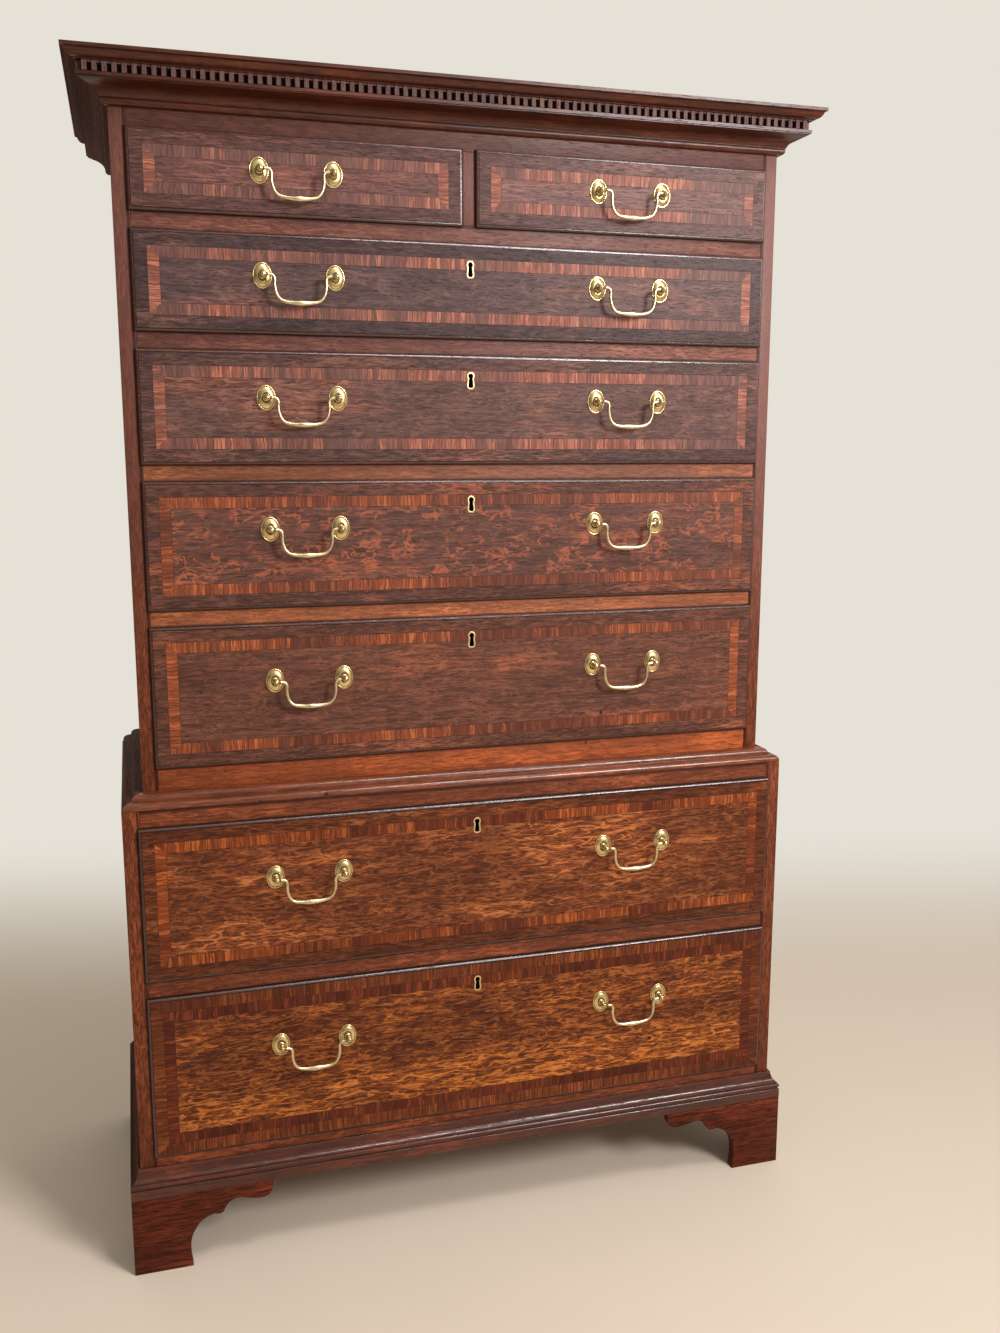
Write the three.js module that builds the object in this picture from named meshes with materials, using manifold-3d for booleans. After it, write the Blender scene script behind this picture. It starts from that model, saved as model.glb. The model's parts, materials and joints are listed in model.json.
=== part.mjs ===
// Oak chest on chest: two short and four long drawers in the upper case, two long drawers in the lower one.
// Millimetres, +Z up, the fronts of the drawers face -Y. The floor is z = 0.
import * as THREE from 'three';
import { mergeVertices } from 'three/addons/utils/BufferGeometryUtils.js';
import Module from 'manifold-3d';

// Cases
const upperWidth = 1000;
const upperDepth = 440;
const upperSideThickness = 23;
const lowerSideStep = 31;
const lowerStep = 28;
const lowerSideThickness = 24.5;
const boardThickness = 20;
const dustboardThickness = 12;
const railDepth = 40;
const backThickness = 10;
const seam = 0.3;

// Heights, from the floor up
const footHeight = 122.5;
const lowerBottomRailHeight = 62.5;
const lowerRailHeight = 32;
const lowerTopRailHeight = 30;
const upperBottomRailHeight = 56;
const upperRailHeight = 29;
const friezeRailHeight = 68;
const lowerOpenings = { long_6: 251, long_5: 231 };
const upperOpenings = { long_4: 204, long_3: 179, long_2: 154, long_1: 130.5, short: 102.5 };

// Mouldings
const corniceHeight = 62;
const corniceProjection = 54.5;
const dentilPitch = 12.4;
const dentilWidth = 7;
const dentilHeight = 9.6;
const dentilDepth = 5.6;
const dentilSeat = 1.5;
const dentilCornerGap = 7.5;
const waistHeight = 20;
const waistProjection = 29;
const baseHeight = 44;
const baseProjection = 15.7;

// Bracket feet
const footProjection = 16;
const footLength = 213;
const footPlate = 18;
const footBlock = 45;
const rearFootLength = 120;

// Drawers
const dividerThickness = 25;
const lipOverlap = 3;
const lipProud = 7;
const lipRound = 5;
const lipGap = 0.4;
const frontThickness = 16;
const drawerSideClearance = 1.5;
const drawerTopClearance = 2;
const drawerWall = 10;
const drawerBottom = 8;
const drawerSideDrop = 6;
const drawerBackGap = 14;

// Handles
const upperHandleOffset = 251.5;
const lowerHandleOffset = 263;
const postSpacing = 103;
const roseWidth = 27.4;
const roseHeight = 36;
const roseThickness = 3;
const postReach = 17;
const postRadius = 2.6;
const collarRadius = 4.8;
const collarHeight = 6;
const ballRadius = 4.3;
const nutWidth = 11;
const nutThickness = 4;
const pinRadius = 1.9;
const pinClearance = 0.4;
const pinDepth = 5;
const bailLegRadius = 2;
const bailGripRadius = 4.2;
const bailDrop = 38;

// Locks
const keyholeDrop = 34;
const keyholeHeight = 21;
const keyholeWidth = 7.4;
const keyholeWaist = 5.2;
const keyholeDepth = 5;
const lockWidth = 64;
const lockHeight = 54;
const lockThickness = 12;
const boltWidth = 22;
const boltThickness = 3;
const boltHeight = 18;
const boltTravel = 8;
const boltInset = 4;
const boltClearance = 0.4;
const boltTopGap = 0.5;

// Fineness of the round shapes
const roseSides = 10;
const postSides = 8;
const bailSides = 8;
const bailSteps = 15;
const curveSteps = 3;

// Heights of each handle in its drawer opening, as shares of that opening
const handleHeight_share = {
  short: 0.558,
  long_1: 0.588,
  long_2: 0.595,
  long_3: 0.63,
  long_4: 0.597,
  long_5: 0.623,
  long_6: 0.627,
};

// Moulding outlines: shares of projection and of height, from the case outwards and from the bottom up
const dentilBack_share = 0.54;
const dentilSoffit_share = 0.69;
const cornice_shares = [
  [0, 0], [0.06, 0], [0.13, 0.03], [0.165, 0.08], [0.165, 0.13], [0.19, 0.15], [0.22, 0.22],
  [0.32, 0.3], [0.47, 0.365], [0.63, 0.42], [0.69, 0.46], [0.69, 0.52], [dentilBack_share, 0.52],
  [dentilBack_share, dentilSoffit_share], [0.72, dentilSoffit_share], [0.83, 0.72], [0.9, 0.79],
  [0.94, 0.9], [1, 0.92], [1, 1], [0, 1],
];
const waist_shares = [
  [0, 0], [1, 0], [1, 0.15], [0.94, 0.36], [0.8, 0.49], [0.56, 0.53], [0.53, 0.53], [0.52, 0.66],
  [0.46, 0.82], [0.32, 0.95], [0.1, 1], [0, 1],
];
const base_shares = [
  [0, 0], [1, 0], [1, 0.34], [0.83, 0.37], [0.83, 0.4], [0.97, 0.43], [1, 0.49], [0.95, 0.54],
  [0.8, 0.56], [0.76, 0.6], [0.54, 0.68], [0.34, 0.8], [0.24, 0.93], [0.22, 1], [0, 1],
];

// Bracket foot outline: shares of its length from the outer corner and of its height
const bracket_shares = [
  [0, 0], [0.41, 0], [0.4, 0.12], [0.398, 0.27], [0.406, 0.39], [0.432, 0.49], [0.468, 0.58],
  [0.518, 0.64], [0.57, 0.67], [0.592, 0.655], [0.63, 0.668], [0.646, 0.71], [0.667, 0.775],
  [0.7, 0.815], [0.745, 0.835], [0.8, 0.815], [0.868, 0.79], [0.925, 0.785], [0.965, 0.81],
  [0.992, 0.88], [1, 1], [0, 1],
];

// Profile of the moulded lip of a drawer: shares of its width and of how far it stands out
const lip_shares = [[0, 0.45], [0.35, 0.85], [1, 1]];

// Profile of a rose: shares of its half width and of its thickness
const rose_shares = [[0.92, 0.5], [0.74, 0.5], [0.66, 1], [0, 1]];

// Profile of the ball at the end of a post: shares of its radius, outwards and along the post
const ball_shares = [[1, -0.45], [1, 0.35], [0.55, 0.95], [0, 1]];

// Path of half a bail: shares of the post spacing along it, and of its drop below the pins
const bail_shares = [
  [0.497, 0], [0.442, 0], [0.4, -0.01], [0.366, -0.05], [0.351, -0.16], [0.353, -0.34], [0.345, -0.54],
  [0.315, -0.76], [0.255, -0.92], [0.15, -0.985], [0, -1],
];
const bailPin_share = 0.4;
const bailGrip_share = 0.25;

// Places that follow from the sizes
const lowerWidth = upperWidth + 2 * lowerSideStep;
const lowerBottom = footHeight;
const upperBottom = lowerBottom + lowerBottomRailHeight + sumOf(lowerOpenings) + lowerRailHeight
  + lowerTopRailHeight;
const openingsTop = upperBottom + upperBottomRailHeight + sumOf(upperOpenings)
  + (Object.keys(upperOpenings).length - 1) * upperRailHeight;
const upperTop = openingsTop + friezeRailHeight + boardThickness;
const upperInside = upperWidth / 2 - upperSideThickness;
const lowerInside = lowerWidth / 2 - lowerSideThickness;
const insideBack = upperDepth - backThickness - seam;
const pinReach = lipProud + postReach;
const frontReach = lowerStep + pinReach + ballRadius;

const chest = new THREE.Group();
chest.position.y = -(upperDepth - frontReach) / 2;

const wasm = await Module();
wasm.setup();

function sumOf(table) {
  return Object.values(table).reduce((total, value) => total + value, 0);
}

// Finishes
function oak(shade) {
  return new THREE.MeshStandardMaterial({ color: shade, roughness: 0.42, metalness: 0 });
}

function brass() {
  return new THREE.MeshStandardMaterial({ color: 0xc9a24e, roughness: 0.3, metalness: 1 });
}

const drawerOak = 0x5a3327;
const caseOak = 0x7a3f24;
const darkOak = 0x4b2c20;
const plainOak = 0x9a7650;

// Solids and booleans
function toSolid(geometry) {
  const bare = geometry.clone();
  bare.deleteAttribute('normal');
  bare.deleteAttribute('uv');
  const merged = mergeVertices(bare);
  return new wasm.Manifold(new wasm.Mesh({
    numProp: 3,
    vertProperties: new Float32Array(merged.attributes.position.array),
    triVerts: new Uint32Array(merged.index.array),
  }));
}

function toGeometry(solid) {
  const mesh = solid.getMesh();
  const geometry = new THREE.BufferGeometry();
  geometry.setAttribute('position', new THREE.BufferAttribute(new Float32Array(mesh.vertProperties), 3));
  geometry.setIndex(new THREE.BufferAttribute(new Uint32Array(mesh.triVerts), 1));
  geometry.computeVertexNormals();
  return geometry;
}

function joined(geometries) {
  return geometries.map(toSolid).reduce((whole, piece) => whole.add(piece));
}

function block(low, high) {
  const geometry = new THREE.BoxGeometry(high[0] - low[0], high[1] - low[1], high[2] - low[2]);
  return geometry.translate((low[0] + high[0]) / 2, (low[1] + high[1]) / 2, (low[2] + high[2]) / 2);
}

// An outline in (y, z) drawn out along X from x0 to x1
function drawnAlongX(outline, x0, x1) {
  const shape = new THREE.Shape(outline.map(([y, z]) => new THREE.Vector2(y, z)));
  const geometry = new THREE.ExtrudeGeometry(shape, { depth: x1 - x0, bevelEnabled: false });
  geometry.applyMatrix4(new THREE.Matrix4().makeBasis(
    new THREE.Vector3(0, 1, 0), new THREE.Vector3(0, 0, 1), new THREE.Vector3(1, 0, 0)));
  return geometry.translate(x0, 0, 0);
}

// A shape in (x, z) drawn out along Y from y0 back to y1
function drawnAlongY(shape, y0, y1) {
  const settings = { depth: y1 - y0, bevelEnabled: false, curveSegments: curveSteps };
  return new THREE.ExtrudeGeometry(shape, settings).rotateX(Math.PI / 2).translate(0, y1, 0);
}

function addPiece(parent, name, geometry, material, place = [0, 0, 0]) {
  const mesh = new THREE.Mesh(geometry, material);
  mesh.name = name;
  mesh.position.set(...place);
  parent.add(mesh);
  return mesh;
}

// A moulding mitred round the left, front and right of a case
function mitredMoulding(shares, projection, height, halfWidth, frontY, bottomZ) {
  const outline = shares.map(([out, up]) => [seam + out * projection, bottomZ + up * height]);
  const corners = [
    (out) => [-halfWidth - out, upperDepth],
    (out) => [-halfWidth - out, frontY - out],
    (out) => [halfWidth + out, frontY - out],
    (out) => [halfWidth + out, upperDepth],
  ];
  const positions = corners.flatMap((corner) => outline.flatMap(([out, z]) => [...corner(out), z]));
  const count = outline.length;
  const index = [];
  for (let run = 0; run < corners.length - 1; run += 1) {
    for (let i = 0; i < count; i += 1) {
      const a = run * count + i;
      const b = run * count + (i + 1) % count;
      index.push(a, a + count, b, b, a + count, b + count);
    }
  }
  const flat = outline.map(([out, z]) => new THREE.Vector2(out, z));
  const last = (corners.length - 1) * count;
  for (const [a, b, c] of THREE.ShapeUtils.triangulateShape(flat, [])) {
    index.push(a, b, c);
    index.push(last + c, last + b, last + a);
  }
  const geometry = new THREE.BufferGeometry();
  geometry.setAttribute('position', new THREE.Float32BufferAttribute(positions, 3));
  geometry.setIndex(index);
  return geometry;
}

// Case boards
// The pocket in a rail that takes the raised lock bolt of the drawer below it
function boltMortise(openingTop, frontY) {
  const halfWidth = boltWidth / 2 + 2 * boltClearance;
  const y = frontY + frontThickness + boltInset;
  const depth = boltTravel + boltClearance;
  return toSolid(block(
    [-halfWidth, y - boltClearance, openingTop - seam],
    [halfWidth, y + boltThickness + boltClearance, openingTop + depth]));
}

// A rail across the front with its dustboard, flush on top, that carries the drawer above
function railBoard(bottomZ, height, halfInside, frontY, thickness) {
  const topZ = bottomZ + height - seam;
  return drawnAlongX([
    [frontY, bottomZ], [frontY + railDepth, bottomZ], [frontY + railDepth, topZ - thickness],
    [insideBack, topZ - thickness], [insideBack, topZ], [frontY, topZ],
  ], -halfInside + seam, halfInside - seam);
}

function addRail(name, bottomZ, height, halfInside, frontY, thickness) {
  const board = toSolid(railBoard(bottomZ, height, halfInside, frontY, thickness));
  addPiece(chest, name, toGeometry(board.subtract(boltMortise(bottomZ, frontY))), oak(caseOak));
}

function addBottomBoard(name, bottomZ, height, halfInside, frontY) {
  const geometry = railBoard(bottomZ, height, halfInside, frontY, boardThickness);
  addPiece(chest, name, geometry, oak(caseOak));
}

function addSides(prefix, width, thickness, frontY, bottomZ, topZ) {
  for (const [side, sign] of [['left', -1], ['right', 1]]) {
    const place = [sign * (width - thickness) / 2, (frontY + upperDepth) / 2, (bottomZ + topZ) / 2];
    const geometry = new THREE.BoxGeometry(thickness, upperDepth - frontY, topZ - bottomZ);
    addPiece(chest, `${prefix}_side_${side}`, geometry, oak(caseOak), place);
  }
}

function addBack(prefix, halfInside, bottomZ, topZ) {
  const low = [-halfInside + seam, upperDepth - backThickness, bottomZ];
  const high = [halfInside - seam, upperDepth, topZ];
  addPiece(chest, `${prefix}_back_boards`, block(low, high), oak(plainOak));
}

function addDivider(bottomZ, topZ) {
  const outline = [
    [0, bottomZ], [insideBack, bottomZ], [insideBack, upperTop - boardThickness - seam],
    [railDepth + seam, upperTop - boardThickness - seam], [railDepth + seam, topZ], [0, topZ],
  ];
  const half = dividerThickness / 2;
  addPiece(chest, 'short_drawer_divider', drawnAlongX(outline, -half, half), oak(caseOak));
}

function addUpperCase() {
  addSides('upper', upperWidth, upperSideThickness, 0, upperBottom, upperTop);
  addBack('upper', upperInside, upperBottom, upperTop);
  addBottomBoard('upper_bottom_board', upperBottom, upperBottomRailHeight, upperInside, 0);
  const topLow = [-upperInside + seam, 0, upperTop - boardThickness];
  addPiece(chest, 'upper_top_board', block(topLow, [upperInside - seam, insideBack, upperTop]), oak(darkOak));
  const friezeLow = [-upperInside + seam, 0, openingsTop];
  const friezeHigh = [upperInside - seam, railDepth, upperTop - boardThickness - seam];
  addPiece(chest, 'upper_frieze_rail', block(friezeLow, friezeHigh), oak(caseOak));
}

function addLowerCase() {
  addSides('lower', lowerWidth, lowerSideThickness, -lowerStep, lowerBottom, upperBottom - seam);
  addBack('lower', lowerInside, lowerBottom, upperBottom - seam);
  addBottomBoard('lower_bottom_board', lowerBottom, lowerBottomRailHeight, lowerInside, -lowerStep);
}

// Cornice with its row of dentils, waist moulding and base moulding
function addMouldings() {
  const corniceBottom = upperTop - corniceHeight;
  const plain = toSolid(mitredMoulding(
    cornice_shares, corniceProjection, corniceHeight, upperWidth / 2, 0, corniceBottom));
  const dentils = toSolid(dentilBand(corniceBottom));
  addPiece(chest, 'cornice', toGeometry(plain.add(dentils)), oak(darkOak));
  addPiece(chest, 'waist_moulding', mitredMoulding(
    waist_shares, waistProjection, waistHeight, upperWidth / 2, 0, upperBottom), oak(darkOak));
  addPiece(chest, 'base_moulding', mitredMoulding(
    base_shares, baseProjection, baseHeight, lowerWidth / 2, -lowerStep, lowerBottom), oak(darkOak));
}

// The plan of the dentils round the right half of the cornice, from the middle of the front to the back
function halfDentilPlan(inner, outer) {
  const half = dentilWidth / 2;
  const sideX = upperWidth / 2;
  const frontEnd = sideX + outer - dentilCornerGap - half;
  const frontCount = Math.round(frontEnd / dentilPitch);
  const sideStart = dentilCornerGap + half - outer;
  const sideCount = Math.round((upperDepth - half - sideStart) / dentilPitch);
  const points = [[half, -outer], [half, -inner]];
  for (let i = 1; i <= frontCount; i += 1) {
    const x = i * frontEnd / frontCount;
    points.push([x - half, -inner], [x - half, -outer], [x + half, -outer], [x + half, -inner]);
  }
  const [near, far] = [sideX + inner, sideX + outer];
  points.push([near, -inner]);
  for (let i = 0; i <= sideCount; i += 1) {
    const y = sideStart + i * (upperDepth - half - sideStart) / sideCount;
    points.push([near, y - half], [far, y - half], [far, y + half], [near, y + half]);
  }
  return points;
}

function dentilBand(corniceBottom) {
  const inner = seam + dentilBack_share * corniceProjection + dentilSeat;
  const root = inner - 2 * dentilSeat;
  const right = halfDentilPlan(inner, inner + dentilDepth);
  const left = right.map(([x, y]) => [-x, y]).reverse();
  const sideX = upperWidth / 2 + root;
  const backY = right[right.length - 1][1];
  const plan = [...left, ...right, [sideX, backY], [sideX, -root], [-sideX, -root], [-sideX, backY]];
  const shape = new THREE.Shape(plan.map(([x, y]) => new THREE.Vector2(x, y)));
  const height = dentilHeight + dentilSeat;
  const band = new THREE.ExtrudeGeometry(shape, { depth: height, bevelEnabled: false });
  return band.translate(0, 0, corniceBottom + dentilSoffit_share * corniceHeight - dentilHeight);
}

// Bracket feet: shaped plates mitred at the front corners, with a glue block in the corner
function bracketOutline(length) {
  return bracket_shares.map(([along, up]) => [along * length, up * (footHeight - seam)]);
}

function footSolid(frontLength, sideLength, isRear) {
  const frontShape = new THREE.Shape(bracketOutline(frontLength).map(([x, z]) => new THREE.Vector2(x, z)));
  const facing = drawnAlongY(frontShape, 0, footPlate);
  const returned = drawnAlongX(bracketOutline(sideLength), 0, footPlate);
  const inner = footPlate + footBlock;
  const glueBlock = block([footPlate / 2, footPlate / 2, 0], [inner, inner, footHeight - seam]);
  const whole = joined([facing, returned, glueBlock]);
  return isRear ? whole.mirror([0, 1, 0]) : whole;
}

function addFeet() {
  const outerX = lowerWidth / 2 + footProjection;
  const frontY = -lowerStep - footProjection;
  for (const [side, sign] of [['left', -1], ['right', 1]]) {
    for (const [end, isRear, y] of [['front', false, frontY], ['rear', true, upperDepth]]) {
      const solid = footSolid(isRear ? rearFootLength : footLength, footLength, isRear);
      const handed = sign > 0 ? solid.mirror([1, 0, 0]) : solid;
      addPiece(chest, `foot_${end}_${side}`, toGeometry(handed), oak(darkOak), [sign * outerX, y, 0]);
    }
  }
}

// Handle hardware, about the middle of the handle on the drawer's face, pointing to -Y
function turnedPiece(profile, sides) {
  const points = profile.map(([radius, along]) => new THREE.Vector2(radius, along));
  return new THREE.LatheGeometry(points, sides).rotateX(Math.PI);
}

function rose() {
  const half = roseWidth / 2;
  const face = rose_shares.map(([out, up]) => [out * half, up * roseThickness]);
  const profile = [[0, -lipRound], [half, -lipRound], ...face];
  return turnedPiece(profile, roseSides).scale(1, 1, roseHeight / roseWidth);
}

function post() {
  const ball = ball_shares.map(([out, along]) => [out * ballRadius, postReach + along * ballRadius]);
  return turnedPiece([
    [0, 0], [collarRadius, 0], [postRadius, collarHeight], [postRadius, postReach - ballRadius], ...ball,
  ], postSides);
}

function nut() {
  const half = nutWidth / 2;
  const backFace = lipProud + frontThickness;
  return block([-half, backFace - seam, -half], [half, backFace + nutThickness, half]);
}

function pinSocket(inward) {
  const radius = pinRadius + pinClearance;
  const socket = new THREE.CylinderGeometry(radius, radius, 2 * pinDepth, postSides);
  return socket.rotateZ(Math.PI / 2).translate(inward * (pinDepth - pinClearance), -postReach, 0);
}

function handleHardware(centreX, centreZ) {
  let whole = null;
  for (const sign of [-1, 1]) {
    const place = [centreX + sign * postSpacing / 2, -lipProud, centreZ];
    const metal = joined([rose(), post(), nut()]).subtract(toSolid(pinSocket(-sign)));
    const placed = metal.translate(place);
    whole = whole ? whole.add(placed) : placed;
  }
  return whole;
}

// A bail: a rod along a swan-neck path that swells at the grip
function bail() {
  const half = bail_shares.map(([along, down]) => new THREE.Vector3(along * postSpacing, 0, down * bailDrop));
  const otherHalf = half.slice(0, -1).reverse().map((point) => new THREE.Vector3(-point.x, 0, point.z));
  const path = new THREE.CatmullRomCurve3([...half, ...otherHalf], false, 'centripetal');
  const frames = path.computeFrenetFrames(bailSteps, false);
  const positions = [];
  for (let step = 0; step <= bailSteps; step += 1) {
    const u = step / bailSteps;
    const centre = path.getPointAt(u);
    const radius = bailRadius(centre.x);
    for (let side = 0; side < bailSides; side += 1) {
      const angle = 2 * Math.PI * side / bailSides;
      const across = frames.normals[step].clone().multiplyScalar(radius * Math.cos(angle));
      const over = frames.binormals[step].clone().multiplyScalar(radius * Math.sin(angle));
      positions.push(...centre.clone().add(across).add(over).toArray());
    }
  }
  return rodGeometry(positions, bailSteps, bailSides);
}

function bailRadius(x) {
  const swell = Math.max(0, 1 - (x / (postSpacing * bailGrip_share)) ** 2);
  const thin = Math.abs(x) > postSpacing * bailPin_share ? pinRadius : bailLegRadius;
  return thin + (bailGripRadius - bailLegRadius) * swell;
}

// Rings of points joined into a closed rod with flat ends
function rodGeometry(positions, steps, sides) {
  const index = [];
  for (let step = 0; step < steps; step += 1) {
    for (let side = 0; side < sides; side += 1) {
      const a = step * sides + side;
      const b = step * sides + (side + 1) % sides;
      index.push(a, b, a + sides, b, b + sides, a + sides);
    }
  }
  const last = steps * sides;
  for (let side = 1; side < sides - 1; side += 1) {
    index.push(0, side + 1, side);
    index.push(last, last + side, last + side + 1);
  }
  const geometry = new THREE.BufferGeometry();
  geometry.setAttribute('position', new THREE.Float32BufferAttribute(positions, 3));
  geometry.setIndex(index);
  return geometry;
}

// Drawer fronts: a board in the opening behind a moulded lip that overlaps the case
function lippedBoard(width, openingHeight) {
  const halfBody = width / 2 - drawerSideClearance;
  const bodyTop = openingHeight - drawerTopClearance;
  const body = block([-halfBody, -lipProud / 2, 0], [halfBody, frontThickness, bodyTop]);
  const halfLip = width / 2 + lipOverlap;
  const lipTop = openingHeight + lipOverlap;
  const profile = lip_shares.map(([inset, out]) => [inset * lipRound, -out * lipProud]);
  const rings = [[0, -lipGap], ...profile];
  const positions = rings.flatMap(([inset, y]) => [
    [-halfLip + inset, y, -lipOverlap + inset], [halfLip - inset, y, -lipOverlap + inset],
    [halfLip - inset, y, lipTop - inset], [-halfLip + inset, y, lipTop - inset],
  ].flat());
  const lip = rodGeometry(positions, rings.length - 1, positions.length / rings.length / 3);
  return toSolid(body).add(toSolid(lip));
}

function keyholeOutline() {
  const round = keyholeWidth / 2;
  const half = keyholeHeight / 2;
  const shape = new THREE.Shape();
  shape.moveTo(-keyholeWaist / 2, 0);
  shape.lineTo(-round, -half + round);
  shape.quadraticCurveTo(0, -half - round / 2, round, -half + round);
  shape.lineTo(keyholeWaist / 2, 0);
  shape.lineTo(round, half - round);
  shape.absarc(0, half - round, round, 0, Math.PI, false);
  return shape;
}

function keyholeCut(openingHeight) {
  const depth = lipProud + frontThickness + keyholeDepth;
  const cut = drawnAlongY(keyholeOutline(), -lipProud - seam, -lipProud + depth);
  return toSolid(cut.translate(0, 0, openingHeight - keyholeDrop));
}

// The lock case behind the front, with the slot that its bolt slides in
function lockCase(openingHeight) {
  const topZ = openingHeight - drawerTopClearance;
  const half = lockWidth / 2;
  const shell = toSolid(block(
    [-half, frontThickness - seam, topZ - lockHeight], [half, frontThickness + lockThickness, topZ]));
  const y = frontThickness + boltInset;
  const slotHalf = boltWidth / 2 + boltClearance;
  const slot = toSolid(block(
    [-slotHalf, y - boltClearance, topZ - boltTopGap - boltHeight - boltClearance],
    [slotHalf, y + boltThickness + boltClearance, topZ + seam]));
  return { shell, slot };
}

function drawerFront(width, openingHeight, handles, isLocked) {
  let front = lippedBoard(width, openingHeight);
  for (const [x, z] of handles) {
    front = front.add(handleHardware(x, z));
  }
  if (isLocked) {
    const { shell, slot } = lockCase(openingHeight);
    front = front.add(shell).subtract(slot).subtract(keyholeCut(openingHeight));
  }
  return toGeometry(front);
}

// Drawer boxes: two sides, a back and a bottom, dovetailed behind the front
function drawerBox(width, openingHeight, frontY) {
  const half = width / 2 - drawerSideClearance;
  const nearY = frontThickness + seam;
  const farY = upperDepth - backThickness - drawerBackGap - frontY;
  const topZ = openingHeight - drawerSideDrop;
  const outer = toSolid(block([-half, nearY, 0], [half, farY, topZ]));
  const inner = toSolid(block(
    [-half + drawerWall, nearY - drawerWall, drawerBottom],
    [half - drawerWall, farY - drawerWall, topZ + drawerWall]));
  return toGeometry(outer.subtract(inner));
}

function addLockBolt(drawer, name, openingHeight) {
  const low = [-boltWidth / 2, frontThickness + boltInset];
  const topZ = openingHeight - drawerTopClearance - boltTopGap;
  const geometry = block([...low, topZ - boltHeight], [-low[0], low[1] + boltThickness, topZ]);
  addPiece(drawer, `lock_bolt_${name}`, geometry, brass());
}

function addDrawer(name, width, centreX, bottomZ, openingHeight, frontY, handles, isLocked) {
  const drawer = new THREE.Group();
  drawer.position.set(centreX, frontY, bottomZ);
  chest.add(drawer);
  const handleZ = openingHeight * handleHeight_share[name.startsWith('short') ? 'short' : name];
  const places = handles.map(([, x]) => [x, handleZ]);
  const front = drawerFront(width, openingHeight, places, isLocked);
  addPiece(drawer, `drawer_front_${name}`, front, oak(drawerOak));
  addPiece(drawer, `drawer_box_${name}`, drawerBox(width, openingHeight, frontY), oak(plainOak));
  if (isLocked) {
    addLockBolt(drawer, name, openingHeight);
  }
  handles.forEach(([side, x]) => {
    const bailName = side ? `bail_${name}_${side}` : `bail_${name}`;
    addPiece(drawer, bailName, bail(), brass(), [x, -pinReach, handleZ]);
  });
}

function addLongDrawer(name, halfInside, bottomZ, openingHeight, frontY, offset) {
  const handles = [['left', -offset], ['right', offset]];
  addDrawer(name, 2 * halfInside, 0, bottomZ, openingHeight, frontY, handles, true);
}

function addShortDrawers(bottomZ, openingHeight) {
  const width = upperInside - dividerThickness / 2;
  const centre = dividerThickness / 2 + width / 2;
  for (const [side, sign] of [['left', -1], ['right', 1]]) {
    const handles = [['', sign * (upperHandleOffset - centre)]];
    addDrawer(`short_${side}`, width, sign * centre, bottomZ, openingHeight, 0, handles, false);
  }
}

// The drawers and the rails between them, from the bottom of each case up
function stackUpper() {
  let z = upperBottom + upperBottomRailHeight;
  const names = Object.keys(upperOpenings);
  names.forEach((name, place) => {
    const height = upperOpenings[name];
    if (name === 'short') {
      addShortDrawers(z, height);
      addDivider(z, z + height - seam);
      return;
    }
    addLongDrawer(name, upperInside, z, height, 0, upperHandleOffset);
    z += height;
    addRail(`upper_rail_${names.length - 1 - place}`, z, upperRailHeight, upperInside, 0, dustboardThickness);
    z += upperRailHeight;
  });
}

function stackLower() {
  let z = lowerBottom + lowerBottomRailHeight;
  const names = Object.keys(lowerOpenings);
  names.forEach((name, place) => {
    addLongDrawer(name, lowerInside, z, lowerOpenings[name], -lowerStep, lowerHandleOffset);
    z += lowerOpenings[name];
    if (place < names.length - 1) {
      addRail('lower_rail', z, lowerRailHeight, lowerInside, -lowerStep, dustboardThickness);
      z += lowerRailHeight;
    }
  });
  addRail('lower_top_board', z, lowerTopRailHeight, lowerInside, -lowerStep, boardThickness);
}

addLowerCase();
stackLower();
addUpperCase();
stackUpper();
addMouldings();
addFeet();

export default chest;
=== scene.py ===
"""Oak chest on chest, dressed on its packed model.

Moulded and crossbanded drawer fronts, brass handles and locks, a dentil cornice, case mouldings and
bracket feet, each riding on the body of the model that carries it.
"""
import json
import math

import bmesh
import bpy
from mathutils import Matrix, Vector


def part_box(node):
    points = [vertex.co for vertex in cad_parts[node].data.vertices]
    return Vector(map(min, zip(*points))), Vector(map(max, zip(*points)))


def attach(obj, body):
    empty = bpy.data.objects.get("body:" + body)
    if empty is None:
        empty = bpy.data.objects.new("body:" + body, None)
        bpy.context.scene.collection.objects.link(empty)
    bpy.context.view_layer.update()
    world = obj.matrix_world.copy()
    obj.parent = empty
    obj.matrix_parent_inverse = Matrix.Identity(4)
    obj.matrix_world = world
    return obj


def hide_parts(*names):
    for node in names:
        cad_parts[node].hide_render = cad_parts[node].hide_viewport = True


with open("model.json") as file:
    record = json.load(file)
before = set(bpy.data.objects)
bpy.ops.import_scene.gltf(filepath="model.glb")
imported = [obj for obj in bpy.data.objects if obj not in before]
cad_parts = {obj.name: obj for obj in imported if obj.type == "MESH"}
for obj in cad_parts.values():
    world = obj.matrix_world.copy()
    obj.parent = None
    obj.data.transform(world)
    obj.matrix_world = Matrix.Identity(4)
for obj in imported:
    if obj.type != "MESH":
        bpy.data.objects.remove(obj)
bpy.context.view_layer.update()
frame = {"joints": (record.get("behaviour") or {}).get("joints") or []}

bl_info = {
    "name": "Oak chest on chest",
    "version": (1, 0, 0),
    "blender": (4, 5, 0),
    "location": "3D View > Sidebar > Chest",
    "description": "Dresses the chest on chest with its fronts, brass, mouldings, feet and finishes",
    "category": "Object",
}

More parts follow.
